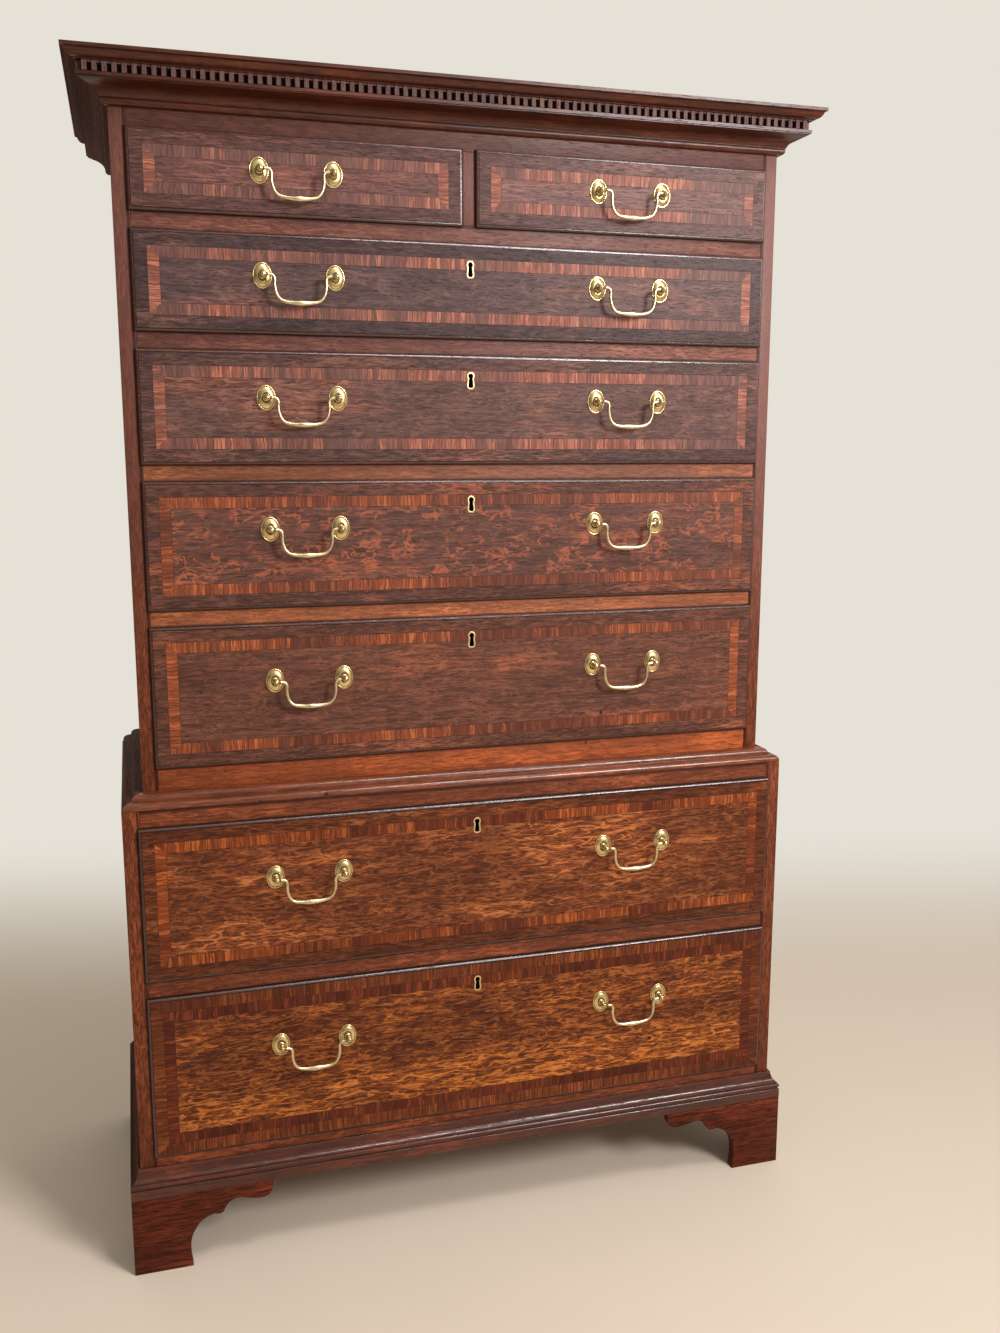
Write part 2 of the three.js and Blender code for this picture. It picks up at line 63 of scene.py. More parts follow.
MM = 0.001
SAME_POINT = 0.000005
SHORT_DRAWERS = ("short_left", "short_right")
UPPER_DRAWERS = ("long_4", "long_3", "long_2", "long_1") + SHORT_DRAWERS
LOWER_DRAWERS = ("long_6", "long_5")
DRAWERS = LOWER_DRAWERS + UPPER_DRAWERS
LOCKED_DRAWERS = tuple(name for name in DRAWERS if name not in SHORT_DRAWERS)
HANDLES = {
    name: (name,) if name in SHORT_DRAWERS else (f"{name}_left", f"{name}_right") for name in DRAWERS}
PINS = {
    joint["child"].removeprefix("bail_"): Vector(joint["pos_m"])
    for joint in frame["joints"] if joint["child"].startswith("bail_")}
UPPER_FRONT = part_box("upper_rail_1")[0].y
LOWER_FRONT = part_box("lower_rail")[0].y
CASE_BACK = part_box("upper_side_left")[1].y
UPPER_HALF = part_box("upper_side_right")[1].x
LOWER_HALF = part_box("lower_side_right")[1].x


# Sizes and colours that can be changed in the sidebar

def length(name, description, value):
    """A length in metres for a settings group, from a value in millimetres."""
    return bpy.props.FloatProperty(
        name=name, description=description, default=value * MM, min=0, unit="LENGTH", precision=4)


def share(name, description, value):
    """A share from 0 to 1 for a settings group."""
    return bpy.props.FloatProperty(
        name=name, description=description, default=value, min=0, max=1, subtype="FACTOR")


def linear(tone):
    """Screen red, green and blue, 0 to 255, as the linear colour that a finish works in."""
    return tuple(c / 255 / 12.92 if c / 255 <= 0.04045 else ((c / 255 + 0.055) / 1.055) ** 2.4 for c in tone)


def colour(name, description, tone):
    """A colour for a settings group, from screen red, green and blue."""
    return bpy.props.FloatVectorProperty(
        name=name, description=description, default=linear(tone), min=0, max=1, size=3, subtype="COLOR")


class ChestFrontSettings(bpy.types.PropertyGroup):
    """Sizes of the drawer fronts."""
    lip_edge: length("Lip edge", "Thickness of the flat edge of the moulded lip", 1.5)
    lip_round: length("Lip round", "Radius of the round on the moulded lip", 4.2)
    quirk: length("Quirk", "Width of the sunk line between the round and the face", 0.4)
    band_inset: length("Band inset", "From the edge of the lip to the crossbanding", 22)
    band_width: length("Band width", "Width of the crossbanding", 15.6)
    line_width: length("Line width", "Width of the dark joint on each side of the banding", 0.45)
    board: length("Board", "Thickness of the front behind the lip", 16)


class ChestHandleSettings(bpy.types.PropertyGroup):
    """Sizes of the handles and keyhole rims."""
    post_spacing: length("Post spacing", "Between the two posts of a handle", 103)
    rose_width: length("Rose width", "Width of an oval rose", 27.4)
    rose_height: length("Rose height", "Height of an oval rose", 36)
    drop: length("Drop", "From the pins down to the grip of a bail", 38)
    grip: length("Grip", "Radius of the swollen middle of the grip", 4.3)
    leg: length("Leg", "Radius of the legs of a bail", 2.45)
    keyhole_width: length("Keyhole width", "Width of the keyhole", 7.4)
    keyhole_height: length("Keyhole height", "Height of the keyhole", 21)
    rim: length("Keyhole rim", "Width of the brass rim let in round a keyhole", 2.3)


class ChestMouldingSettings(bpy.types.PropertyGroup):
    """Sizes of the cornice, mouldings and feet."""
    dentil_width: length("Dentil width", "Width of one dentil", 6.4)
    dentil_height: length("Dentil height", "Height of one dentil", 13)
    dentil_pitch: length("Dentil pitch", "From one dentil to the next", 12.4)
    arris: length("Arris", "Softening of the edges of boards", 1.2)
    foot_plate: length("Foot plate", "Thickness of the plates of the bracket feet", 18)


class ChestFinishSettings(bpy.types.PropertyGroup):
    """Colours and polish of the woods and the brass."""
    case: colour("Case oak", "Middle colour of the stiles and rails", (122, 62, 38))
    dark: colour("Moulding oak", "Middle colour of the mouldings", (76, 33, 20))
    inside: colour("Inside oak", "Middle colour of the unpolished oak inside", (162, 116, 80))
    brass: colour("Brass", "Colour of the polished brass", (232, 203, 143))
    grime: colour("Grime", "Colour of the dirt in the hollows of the brass", (58, 36, 18))
    polish: share("Polish", "How glossy the waxed wood is", 0.6)


class ChestStageSettings(bpy.types.PropertyGroup):
    """The camera, floor and lights."""
    camera_height: length("Camera height", "Height of the camera above the floor", 1243.1)
    floor: colour("Floor", "Colour of the floor near the chest", (215, 200, 183))
    surround: colour("Surround", "Colour of the light and of the far floor", (234, 229, 218))
    light: bpy.props.FloatProperty(
        name="Light", description="Power of the soft light from the right", default=77, min=0,
        subtype="POWER")


# Working on one piece at a time

def only(piece):
    """Selects one piece alone and makes it the active one."""
    bpy.ops.object.select_all(action="DESELECT")
    piece.select_set(True)
    bpy.context.view_layer.objects.active = piece


def clear():
    """Leaves nothing selected before a new piece is added."""
    bpy.ops.object.select_all(action="DESELECT")


def edit():
    """Opens the active piece's mesh, with its points to be selected."""
    bpy.ops.object.mode_set(mode="EDIT")
    bpy.ops.mesh.select_mode(type="VERT")


def done():
    bpy.ops.object.mode_set(mode="OBJECT")


def settle(name=None):
    """Puts the active piece's place, turn and size into its mesh, and names it."""
    piece = bpy.context.view_layer.objects.active
    if name:
        piece.name = name
        piece.data.name = name
    bpy.ops.object.transform_apply(location=True, rotation=True, scale=True)
    return piece


def whole():
    """Selects the whole of the open mesh."""
    bpy.ops.mesh.select_all(action="SELECT")


def choose(test, kind="FACE"):
    """Selects, in edit mode, the faces, edges or points that pass a test on their middle and themselves."""
    mesh = bmesh.from_edit_mesh(bpy.context.object.data)
    bpy.ops.mesh.select_mode(type=kind)
    bpy.ops.mesh.select_all(action="DESELECT")
    found = False
    for part in {"FACE": mesh.faces, "EDGE": mesh.edges, "VERT": mesh.verts}[kind]:
        if kind == "FACE":
            middle = part.calc_center_median()
        elif kind == "EDGE":
            middle = (part.verts[0].co + part.verts[1].co) / 2
        else:
            middle = part.co
        part.select_set(bool(test(middle, part)))
        found = found or part.select
    mesh.select_flush_mode()
    bmesh.update_edit_mesh(bpy.context.object.data)
    if not found:
        raise RuntimeError(f"nothing to select on {bpy.context.object.name}")


def push(x=0.0, y=0.0, z=0.0):
    """Moves what is selected."""
    bpy.ops.transform.translate(value=(x, y, z))


def extrude(x=0.0, y=0.0, z=0.0):
    """Extrudes what is selected and moves the new part."""
    bpy.ops.mesh.extrude_region_move(TRANSFORM_OT_translate={"value": (x, y, z)})


def step_in(across, out):
    """Insets the chosen face by a width and raises what is inside it."""
    bpy.ops.mesh.inset(thickness=across, depth=out, use_even_offset=True, use_boundary=True)


def turn(angle, axis="Z", about=(0, 0, 0)):
    """Turns what is selected."""
    bpy.ops.transform.rotate(value=angle, orient_axis=axis, center_override=about)


def stretch(scale, about=(0, 0, 0)):
    """Stretches or mirrors what is selected."""
    bpy.ops.transform.resize(value=scale, center_override=about)


def merge_points():
    """Merges the points of the open mesh that lie on each other."""
    whole()
    bpy.ops.mesh.remove_doubles(threshold=SAME_POINT)


def face_out():
    """Turns every face of the open mesh outwards."""
    whole()
    bpy.ops.mesh.normals_make_consistent(inside=False)


def smooth(angle):
    """Shades the active piece smooth, apart from edges sharper than an angle in degrees."""
    bpy.ops.object.shade_smooth_by_angle(angle=math.radians(angle))


def modified(piece, kind, **settings):
    """Applies a modifier with these settings to a piece."""
    only(piece)
    bpy.ops.object.modifier_add(type=kind)
    modifier = piece.modifiers[-1]
    for name, value in settings.items():
        setattr(modifier, name, value)
    bpy.ops.object.modifier_apply(modifier=modifier.name)
    return piece


def soften(piece, width, steps=2, angle=40):
    """Rounds the sharp edges of a finished piece and shades it smooth."""
    if width:
        modified(piece, "BEVEL", width=width, segments=steps, limit_method="ANGLE",
                 angle_limit=math.radians(angle), harden_normals=False)
    only(piece)
    smooth(angle)
    return piece


def cut(piece, cutter):
    """Cuts one piece's shape out of another, and takes the cutter away."""
    modified(piece, "BOOLEAN", operation="DIFFERENCE", solver="EXACT", object=cutter,
             material_mode="TRANSFER")
    remove(cutter)
    return piece


def remove(piece):
    only(piece)
    bpy.ops.object.delete()


def joined(pieces, name):
    """Several pieces as one."""
    clear()
    for piece in pieces:
        piece.select_set(True)
    bpy.context.view_layer.objects.active = pieces[0]
    if len(pieces) > 1:
        bpy.ops.object.join()
    return settle(name)


def shifted(piece, x, y, z, angle=0.0):
    """Turns a piece about Z, then moves it."""
    only(piece)
    if angle:
        turn(angle)
    push(x, y, z)
    return settle()


def copied(piece, name, x=0.0, y=0.0, z=0.0):
    """A copy of a piece, with a mesh of its own, moved by a distance."""
    only(piece)
    bpy.ops.object.duplicate(linked=False)
    push(x, y, z)
    return settle(name)


def flipped(piece, name):
    """The mirror image of a piece across the middle of the chest, with its faces turned outwards again."""
    only(piece)
    bpy.ops.object.duplicate(linked=False)
    stretch((-1, 1, 1))
    other = settle(name)
    edit()
    face_out()
    done()
    return other


def finished(piece, finishes):
    """Gives a piece its finishes, whose names stand in the order of its faces' numbers."""
    numbers = [face.material_index for face in piece.data.polygons]
    piece.data.materials.clear()
    names = finishes.split()
    for name in names:
        piece.data.materials.append(finish_of(name))
    for face, number in zip(piece.data.polygons, numbers):
        face.material_index = min(number, len(names) - 1)
    return piece


def hand_over(piece, finishes, body, slot, *nodes):
    """Finishes a piece, unless that is done, rides it on its body, and hides the parts of the model that it
    stands for. The slot is not used."""
    if finishes:
        finished(piece, finishes)
    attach(piece, body)
    if nodes:
        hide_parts(*nodes)


# Shapes that several pieces start from

def board(name, low, high, arris=0.0, steps=2):
    """A board between two corners, with softened edges."""
    clear()
    low, high = Vector(low), Vector(high)
    bpy.ops.mesh.primitive_cube_add(size=1, location=(low + high) / 2, scale=high - low)
    piece = settle(name)
    if arris:
        edit()
        whole()
        bpy.ops.mesh.bevel(offset=arris, segments=steps, affect="EDGES", clamp_overlap=True)
        done()
    smooth(40)
    return piece


def drawn(name, outline, y0, y1):
    """A plate with an outline in X and Z, from one depth back to another."""
    clear()
    bpy.ops.mesh.primitive_plane_add(size=0.01)
    piece = settle(name)
    edit()
    whole()
    bpy.ops.mesh.merge(type="CENTER")
    x, z = outline[0]
    push(x, y0, z)
    for next_x, next_z in outline[1:]:
        extrude(next_x - x, 0, next_z - z)
        x, z = next_x, next_z
    whole()
    bpy.ops.mesh.edge_face_add()
    extrude(0, y1 - y0, 0)
    merge_points()
    face_out()
    done()
    return piece


def turned(name, profile, sides):
    """A piece turned about an axis that points out to the front, from rows of radius, reach and grime."""
    clear()
    radius, reach, _ = profile[0]
    bpy.ops.mesh.primitive_circle_add(
        vertices=sides, radius=radius, location=(0, -reach, 0), rotation=(math.pi / 2, 0, 0),
        fill_type="NGON")
    piece = settle(name)
    edit()
    whole()
    for next_radius, next_reach, _ in profile[1:]:
        extrude(0, reach - next_reach, 0)
        stretch((next_radius / radius, 1, next_radius / radius), (0, -next_reach, 0))
        radius, reach = next_radius, next_reach
    face_out()
    done()
    last = len(profile) - 1
    soil_and_shade(piece, [profile[min(index // sides, last)][2] for index in range(len(piece.data.vertices))])
    smooth(50)
    return piece


def soil_and_shade(piece, amounts):
    """Notes how much each point of a piece is darkened, from 0 to 1, for its finish to read: painted shade on
    the wood, old dirt on the brass.
    """
    piece.data.attributes.new("grime", "FLOAT", "POINT").data.foreach_set("value", amounts)
    return piece


def mitred(name, profile, half, front, back):
    """A moulding mitred round the left, front and right of a case, from rows of how far out and how high."""
    clear()
    out, up = profile[0]
    bpy.ops.mesh.primitive_plane_add(size=1, location=(0, (front - out + back) / 2, up))
    piece = bpy.context.object
    piece.scale = (2 * (half + out), back - front + out, 1)
    settle(name)
    edit()
    choose(lambda middle, edge: middle.y > back - MM, "EDGE")
    bpy.ops.mesh.delete(type="EDGE")
    bpy.ops.mesh.select_mode(type="EDGE")
    whole()
    for next_out, next_up in [*profile[1:], profile[0]]:
        extrude(0, 0, next_up - up)
        wider, deeper = (half + next_out) / (half + out), (back - front + next_out) / (back - front + out)
        stretch((wider, deeper, 1), (0, back, next_up))
        out, up = next_out, next_up
    merge_points()
    for side in (-1, 1):
        choose(lambda middle, edge: abs(middle.y - back) < MM / 100 and middle.x * side > 0
               and edge.is_boundary, "EDGE")
        bpy.ops.mesh.edge_face_add()
    merge_points()
    face_out()
    done()
    for face in piece.data.polygons:
        face.material_index = int(abs(face.center.x) > 0.8 * half)
    smooth(32)
    return piece


def through(points, steps):
    """Points on a smooth curve through the given ones, with some steps from each to the next."""
    ends = [points[0], *points, points[-1]]
    curve = []
    for a, b, c, d in zip(ends, ends[1:], ends[2:], ends[3:]):
        for step in range(steps):
            t = step / steps
            curve.append(tuple(
                0.5 * (2 * q + (r - p) * t + (2 * p - 5 * q + 4 * r - s) * t ** 2
                       + (3 * q - p - 3 * r + s) * t ** 3)
                for p, q, r, s in zip(a, b, c, d)))
    return [*curve, tuple(points[-1])]


def metres(rows):
    """Rows of millimetres in metres."""
    return [tuple(value * MM for value in row) for row in rows]


# Finishes

class Wire:
    """A value in a finish. Arithmetic on it adds the Math nodes that work it out."""

    def __init__(self, finish, socket):
        self.finish = finish
        self.socket = socket

    def worked(self, operation, first, second=0.0):
        return self.finish.node("ShaderNodeMath", {"operation": operation}, {0: first, 1: second})

    def __add__(self, other):
        return self.worked("ADD", self, other)

    __radd__ = __add__

    def __sub__(self, other):
        return self.worked("SUBTRACT", self, other)

    def __rsub__(self, other):
        return self.worked("SUBTRACT", other, self)

    def __mul__(self, other):
        return self.worked("MULTIPLY", self, other)

    __rmul__ = __mul__

    def __abs__(self):
        return self.worked("ABSOLUTE", self)


class Finish:
    """A procedural material, or the light of a world, while it is being made."""

    def __init__(self, name, library="materials"):
        self.material = getattr(bpy.data, library).new(name)
        self.material.use_nodes = True
        self.nodes = self.material.node_tree.nodes
        self.links = self.material.node_tree.links
        self.nodes.clear()

    def node(self, kind, settings=None, sockets=None, out=0):
        """Adds a node with its settings, then its sockets' values or links, and returns one output."""
        made = self.nodes.new(kind)
        for name, value in (settings or {}).items():
            setattr(made, name, value)
        for name, value in (sockets or {}).items():
            if isinstance(value, Wire):
                self.links.new(value.socket, made.inputs[name])
            else:
                made.inputs[name].default_value = value
        return Wire(self, made.outputs[out])

    def vector(self, operation, sockets, out=0):
        return self.node("ShaderNodeVectorMath", {"operation": operation}, sockets, out)

    def here(self):
        """A point of the piece, in metres."""
        return self.node("ShaderNodeTexCoord", out="Object")

    def grime(self):
        """How much darkening was noted on a point of the piece: painted shade on the wood, old dirt on the
        brass.
        """
        return self.node("ShaderNodeAttribute", {"attribute_name": "grime"}, out="Fac")

    def place(self, grain="x", seed=0.0):
        """Object coordinates, turned so that the grain lies along X, and moved by a seed."""
        quarter = math.pi / 2
        turned_by = {"x": (0, 0, 0), "y": (0, 0, -quarter), "z": (0, quarter, 0)}[grain]
        return self.node("ShaderNodeMapping", {}, {
            "Vector": self.here(), "Rotation": turned_by, "Location": (seed * 1.7, seed * 0.9, seed * 1.3)})

    def scaled(self, place, scale):
        return self.vector("MULTIPLY", {0: place, 1: scale})

    def noise(self, place, scale, detail=3.0, roughness=0.55, distortion=0.0):
        """Noise from 0 to 1 with a scale along and across the grain, in marks per metre."""
        return self.node("ShaderNodeTexNoise", {}, {
            "Vector": self.scaled(place, scale), "Scale": 1.0, "Detail": detail, "Roughness": roughness,
            "Distortion": distortion})

    def bent(self, place, scale, amount):
        """A place that wanders by an amount in metres."""
        wander = self.node("ShaderNodeTexNoise", {}, {
            "Vector": self.scaled(place, scale), "Scale": 1.0, "Detail": 2.0}, out="Color")
        centred = self.vector("SUBTRACT", {0: wander, 1: (0.5, 0.5, 0.5)})
        return self.vector("ADD", {0: place, 1: self.scaled(centred, amount)})

    def curls(self, place, wander, scale, roughness, distortion, start, end):
        """Thin lines that run where a swirling noise is near its middle; start and end say how thin."""
        swirl = self.noise(self.bent(place, *wander), scale, 2.0, roughness, distortion)
        return self.between(1 - abs(swirl - 0.5) * 2, start, end)

    def between(self, value, low, high):
        """0 below one value, 1 above another, with a smooth step between them."""
        return self.node("ShaderNodeMapRange", {"interpolation_type": "SMOOTHSTEP"}, {
            "Value": value, "From Min": low, "From Max": high, "To Min": 0.0, "To Max": 1.0})

    def mix(self, factor, first, second):
        """Two colours mixed."""
        def full(value):
            return value if isinstance(value, Wire) or len(value) == 4 else (*value, 1)
        return self.node("ShaderNodeMix", {"data_type": "RGBA"}, {
            0: factor, 6: full(first), 7: full(second)}, out=2)

    def axis(self, place, letter):
        """One coordinate of a place."""
        return self.node("ShaderNodeSeparateXYZ", {}, {"Vector": place}, out=letter)

    def dots(self, place, scale, amount):
        """How far a place is from the nearest of some scattered dots, in dot spacings; 1 far from any."""
        distance, pick = (
            self.node("ShaderNodeTexVoronoi", {"feature": "F1"}, {"Vector": place, "Scale": scale}, out=out)
            for out in ("Distance", "Color"))
        return distance + self.between(self.axis(pick, "X"), amount, amount + 0.001)

    def bump(self, height, strength, distance):
        return self.node("ShaderNodeBump", {}, {"Height": height, "Strength": strength, "Distance": distance})

    def surface(self, **sockets):
        """Ends the finish in a shader with these sockets, and returns the material."""
        return self.ended(self.node("ShaderNodeBsdfPrincipled", {}, sockets))

    def ended(self, shader, kind="ShaderNodeOutputMaterial"):
        end = self.nodes.new(kind)
        self.links.new(shader.socket, end.inputs["Surface"])
        return self.material


def times(tone, level):
    """A colour made lighter or darker."""
    return tuple(value * level for value in tone)


def waxed(finish, tint, roughness, height, polish, gleam):
    """Ends a finish as waxed wood, whose pores a strong polish fills."""
    return finish.surface(**{
        "Base Color": tint, "Roughness": roughness, "Specular IOR Level": gleam * 0.6,
        "Coat Weight": 0.03 * polish, "Coat Roughness": 0.2,
        "Normal": finish.bump(height, 0.5 if polish < 1 else 0.18, 0.0007)})


def painted_sheen(finish, tint, glare):
    """Painted sheen: a mauve bloom laid on the wood towards the top and the right of the chest, where it
    catches the light.
    """
    if not glare:
        return tint
    place = finish.here()
    up = finish.between(finish.axis(place, "Z"), 0.7, 1.6)
    right = finish.between(finish.axis(place, "X"), -0.5, 0.6)
    tint = finish.mix(up * glare, tint, linear((92, 62, 58)))
    return finish.mix(up * right * glare * 0.5, tint, linear((150, 112, 108)))


def oak(name, grain, tones, seed, polish=0.6, figure=0.3, flecks=0.0, warmth=0.5, glare=0.0, gleam=0.2,
        fineness=560.0, reach=26.0, marks=0.0, curls=0.45, streaks=0.5, warm_below=0.0, threads=0.0):
    """Waxed oak. Tones are dark, middle, warm and light. Figure is how far the fine strokes curl, flecks are
    the rays of quartered oak, warmth is how much of the board has the warm tone, and fineness and reach are
    how many strokes there are to a metre across and along the grain. Marks is the share of places with an old
    dent or nail hole. Curls are thin wavy light lines, threads thin wavy dark ones, streaks is how strong the
    strokes are, and warm_below is the height under which the board is warmer."""
    dark, middle, warm, light = tones
    deep = times(dark, 0.35)
    finish = Finish(name)
    place = finish.place(grain, seed)
    bent = finish.bent(place, (2.4, 9.0, 9.0), (0.0, 0.018, 0.018))
    curled = finish.bent(bent, (24.0, 46.0, 46.0), (0.010 * figure, 0.016 * figure, 0.016 * figure))
    strokes = finish.noise(curled, (reach, fineness, fineness), 3.0, 0.62)
    wide = finish.noise(curled, (reach * 0.4, fineness * 0.42, fineness * 0.42), 2.0, 0.6)
    lines = finish.noise(curled, (60.0, 760.0, 760.0), 2.0, 0.6)
    rings = finish.noise(bent, (2.6, 62.0, 62.0), 3.0, 0.6)
    patches = finish.noise(bent, (3.4, 12.0, 12.0), 3.0, 0.55)
    clouds = finish.noise(bent, (9.0, 30.0, 30.0), 2.0, 0.55)
    pores = finish.between(lines, 0.57, 0.68)
    glow = finish.between(
        patches * 0.6 + rings * 0.25 + clouds * 0.3, 0.66 - 0.2 * warmth, 0.82 - 0.2 * warmth)
    if warm_below:
        height_of = finish.axis(finish.here(), "Z") + clouds * 0.06
        glow = glow * 0.5 + finish.between(height_of, warm_below + 0.06, warm_below - 0.02) * 0.5
    shade = finish.between(patches * 0.5 + clouds * 0.35 + rings * 0.3, 0.58, 0.42)
    tint = finish.mix(glow, middle, warm)
    tint = finish.mix(shade * 0.75, tint, tuple((a * 1.3 + b) / 2.3 for a, b in zip(dark, middle)))
    both = strokes * 0.6 + wide * 0.4
    tint = finish.mix(finish.between(both, 0.58, 0.40) * (0.4 + streaks * 0.6), tint, dark)
    tint = finish.mix(finish.between(both, 0.50, 0.64) * (0.08 + glow * 0.8) * streaks, tint, light)
    if threads:
        dark_lines = finish.curls(
            place, ((34.0, 80.0, 80.0), (0.014, 0.009, 0.009)), (26.0, 160.0, 160.0), 0.55, 0.5, 0.80, 0.95)
        tint = finish.mix(dark_lines * threads, tint, dark)
    if curls:
        light_lines = finish.curls(
            place, ((26.0, 60.0, 60.0), (0.016, 0.010, 0.010)), (15.0, 105.0, 105.0), 0.5, 0.5, 0.90, 0.985)
        tint = finish.mix(light_lines * (0.25 + glow * 0.75) * curls, tint, light)
    height = strokes * 0.5 - pores * 0.6
    if flecks:
        ridges = finish.curls(
            place, ((22.0, 34.0, 34.0), (0.03, 0.012, 0.012)), (44.0, 86.0, 86.0), 0.55, 0.7, 0.86, 0.97)
        rays = ridges * finish.between(finish.noise(place, (26.0, 44.0, 44.0), 2.0, 0.6), 0.44, 0.6)
        tint = finish.mix(rays * flecks, tint, light)
        height = height + rays * 0.15
    tint = finish.mix(pores * 0.7, tint, deep)
    if marks:
        dents = finish.between(finish.dots(place, 21.0, marks), 0.085, 0.05)
        tint = finish.mix(dents * 0.9, tint, deep)
        height = height - dents
    # Painted sheen, paler and mauver towards the top and the right.
    tint = painted_sheen(finish, tint, glare)
    # The noted darkening is painted shade on the wood: in the hollows of the mouldings and in lines where the
    # drawer lips end.
    tint = finish.mix(finish.grime() * 0.88, tint, deep)
    return waxed(finish, tint, 0.6 - 0.3 * polish + pores * 0.15 + strokes * 0.08, height, polish, gleam)


def crossbanded(name, run, tones, seed, variety=0.5, glare=0.0, polish=0.6, gleam=0.2):
    """Short-grained banding laid in lengths along a run, each with its own tone and fine cross stripes."""
    dark, middle, warm, light = tones
    deep = times(dark, 0.4)
    finish = Finish(name)
    place = finish.place(run, seed)
    curled = finish.bent(place, (40.0, 110.0, 110.0), (0.0035, 0.002, 0.002))
    along = finish.axis(curled, "X") * 135 + seed * 3.1
    cells = {"voronoi_dimensions": "1D", "feature": "F1"}
    spread = {"W": along, "Scale": 1.0, "Randomness": 1.0}
    tone = finish.axis(finish.node("ShaderNodeTexVoronoi", cells, spread, out="Color"), "X")
    edge = finish.node(
        "ShaderNodeTexVoronoi", {**cells, "feature": "DISTANCE_TO_EDGE"}, spread, out="Distance")
    slow = finish.noise(place, (7.0, 1.0, 1.0), 2.0, 0.6)
    stripes = finish.noise(curled, (420.0, 34.0, 34.0), 3.0, 0.62)
    fine = finish.noise(curled, (900.0, 90.0, 90.0), 2.0, 0.6)
    warmed = finish.between(slow + (tone - 0.5) * 0.3 * variety, 0.36, 0.60)
    tint = finish.mix(warmed, middle, warm)
    tint = finish.mix(finish.between(tone, 0.45, 0.0) * 0.55 * variety, tint, dark)
    tint = finish.mix(finish.between(stripes, 0.56, 0.38) * 0.45, tint, dark)
    tint = finish.mix(finish.between(stripes + tone * 0.2, 0.62, 0.8) * (0.1 + warmed * 0.55), tint, light)
    tint = finish.mix(finish.between(edge, 0.10, 0.02) * (0.25 + warmed * 0.3), tint, deep)
    tint = finish.mix(finish.between(fine, 0.57, 0.68) * 0.4, tint, deep)
    # Painted sheen, paler and mauver towards the top and the right.
    tint = painted_sheen(finish, tint, glare)
    return waxed(finish, tint, 0.6 - 0.3 * polish + fine * 0.1, stripes * 0.5 + fine * 0.4, polish, gleam)


def stained(name, tone, seed=0.0, roughness=0.7):
    """Dark joints and the end grain of dovetails, and painted shade in holes and hollows."""
    finish = Finish(name)
    mottle = finish.noise(finish.place("x", seed), (90.0, 90.0, 90.0))
    return finish.surface(**{
        "Base Color": finish.mix(mottle, times(tone, 0.5), tone), "Roughness": roughness + mottle * 0.15,
        "Specular IOR Level": 0.2})


def brass(name, tone, grime_tone, roughness=0.26, dull=0.0):
    """Rubbed brass, golden where it is handled and brown in the hollows."""
    finish = Finish(name)
    place = finish.place("x", dull)
    blotches = finish.noise(place, (110.0, 110.0, 110.0), 3.0, 0.6)
    scratches = finish.noise(place, (900.0, 2200.0, 900.0), 2.0, 0.5)
    dirt = finish.between(finish.grime() + blotches * 0.3, 0.45, 0.95)
    tint = finish.mix(finish.between(blotches, 0.35, 0.75), tone, times(tone, 0.72))
    return finish.surface(**{
        "Base Color": finish.mix(dirt * 0.9, tint, grime_tone), "Metallic": 1 - dirt * 0.45,
        "Roughness": roughness + dirt * 0.3 + scratches * 0.08 + blotches * 0.06 + dull * 0.01,
        "Normal": finish.bump(blotches * 0.6 + scratches * 0.4, 0.12, 0.0003)})


def iron(name):
    """Old dark iron and steel of the locks, nuts and screws."""
    finish = Finish(name)
    rust = finish.noise(finish.place("x", 4.0), (70.0, 70.0, 70.0), 4.0, 0.65)
    spots = finish.between(rust, 0.48, 0.68)
    return finish.surface(**{
        "Base Color": finish.mix(spots, linear((84, 80, 76)), linear((88, 52, 34))),
        "Metallic": 0.9 - spots * 0.6, "Roughness": 0.4 + spots * 0.35,
        "Normal": finish.bump(rust, 0.3, 0.0006)})


# The dark, middle, warm and light tones of each drawer's field, and of the crossbanding by its height.
# Towards the top of the chest the tones grow mauver, and the right short drawer is lighter than the left:
# painted sheen over each drawer's own colour.
FIELD_TONES = {
    "long_6": ((48, 20, 12), (110, 52, 27), (156, 80, 34), (208, 122, 54)),
    "long_5": ((54, 24, 14), (114, 57, 32), (144, 73, 38), (192, 114, 62)),
    "long_4": ((54, 31, 25), (106, 66, 53), (138, 77, 54), (178, 106, 76)),
    "long_3": ((52, 32, 27), (99, 67, 58), (134, 80, 61), (184, 98, 66)),
    "long_2": ((46, 31, 30), (99, 71, 65), (128, 79, 64), (168, 114, 95)),
    "long_1": ((40, 30, 32), (86, 67, 67), (114, 76, 68), (152, 108, 96)),
    "short_left": ((54, 34, 33), (110, 74, 69), (136, 82, 70), (172, 116, 102)),
    "short_right": ((60, 38, 37), (116, 82, 78), (140, 92, 82), (180, 128, 116)),
}
BAND_TONES = {
    "border": ((36, 15, 9), (82, 37, 20), (108, 52, 26), (146, 78, 38)),
    "base": ((38, 14, 9), (76, 31, 18), (98, 42, 23), (132, 64, 32)),
    "low": ((46, 18, 11), (90, 40, 22), (138, 66, 31), (186, 100, 48)),
    "middle": ((54, 27, 19), (98, 53, 39), (144, 73, 43), (186, 104, 62)),
    "high": ((54, 34, 31), (106, 74, 68), (150, 87, 69), (188, 122, 98)),
}
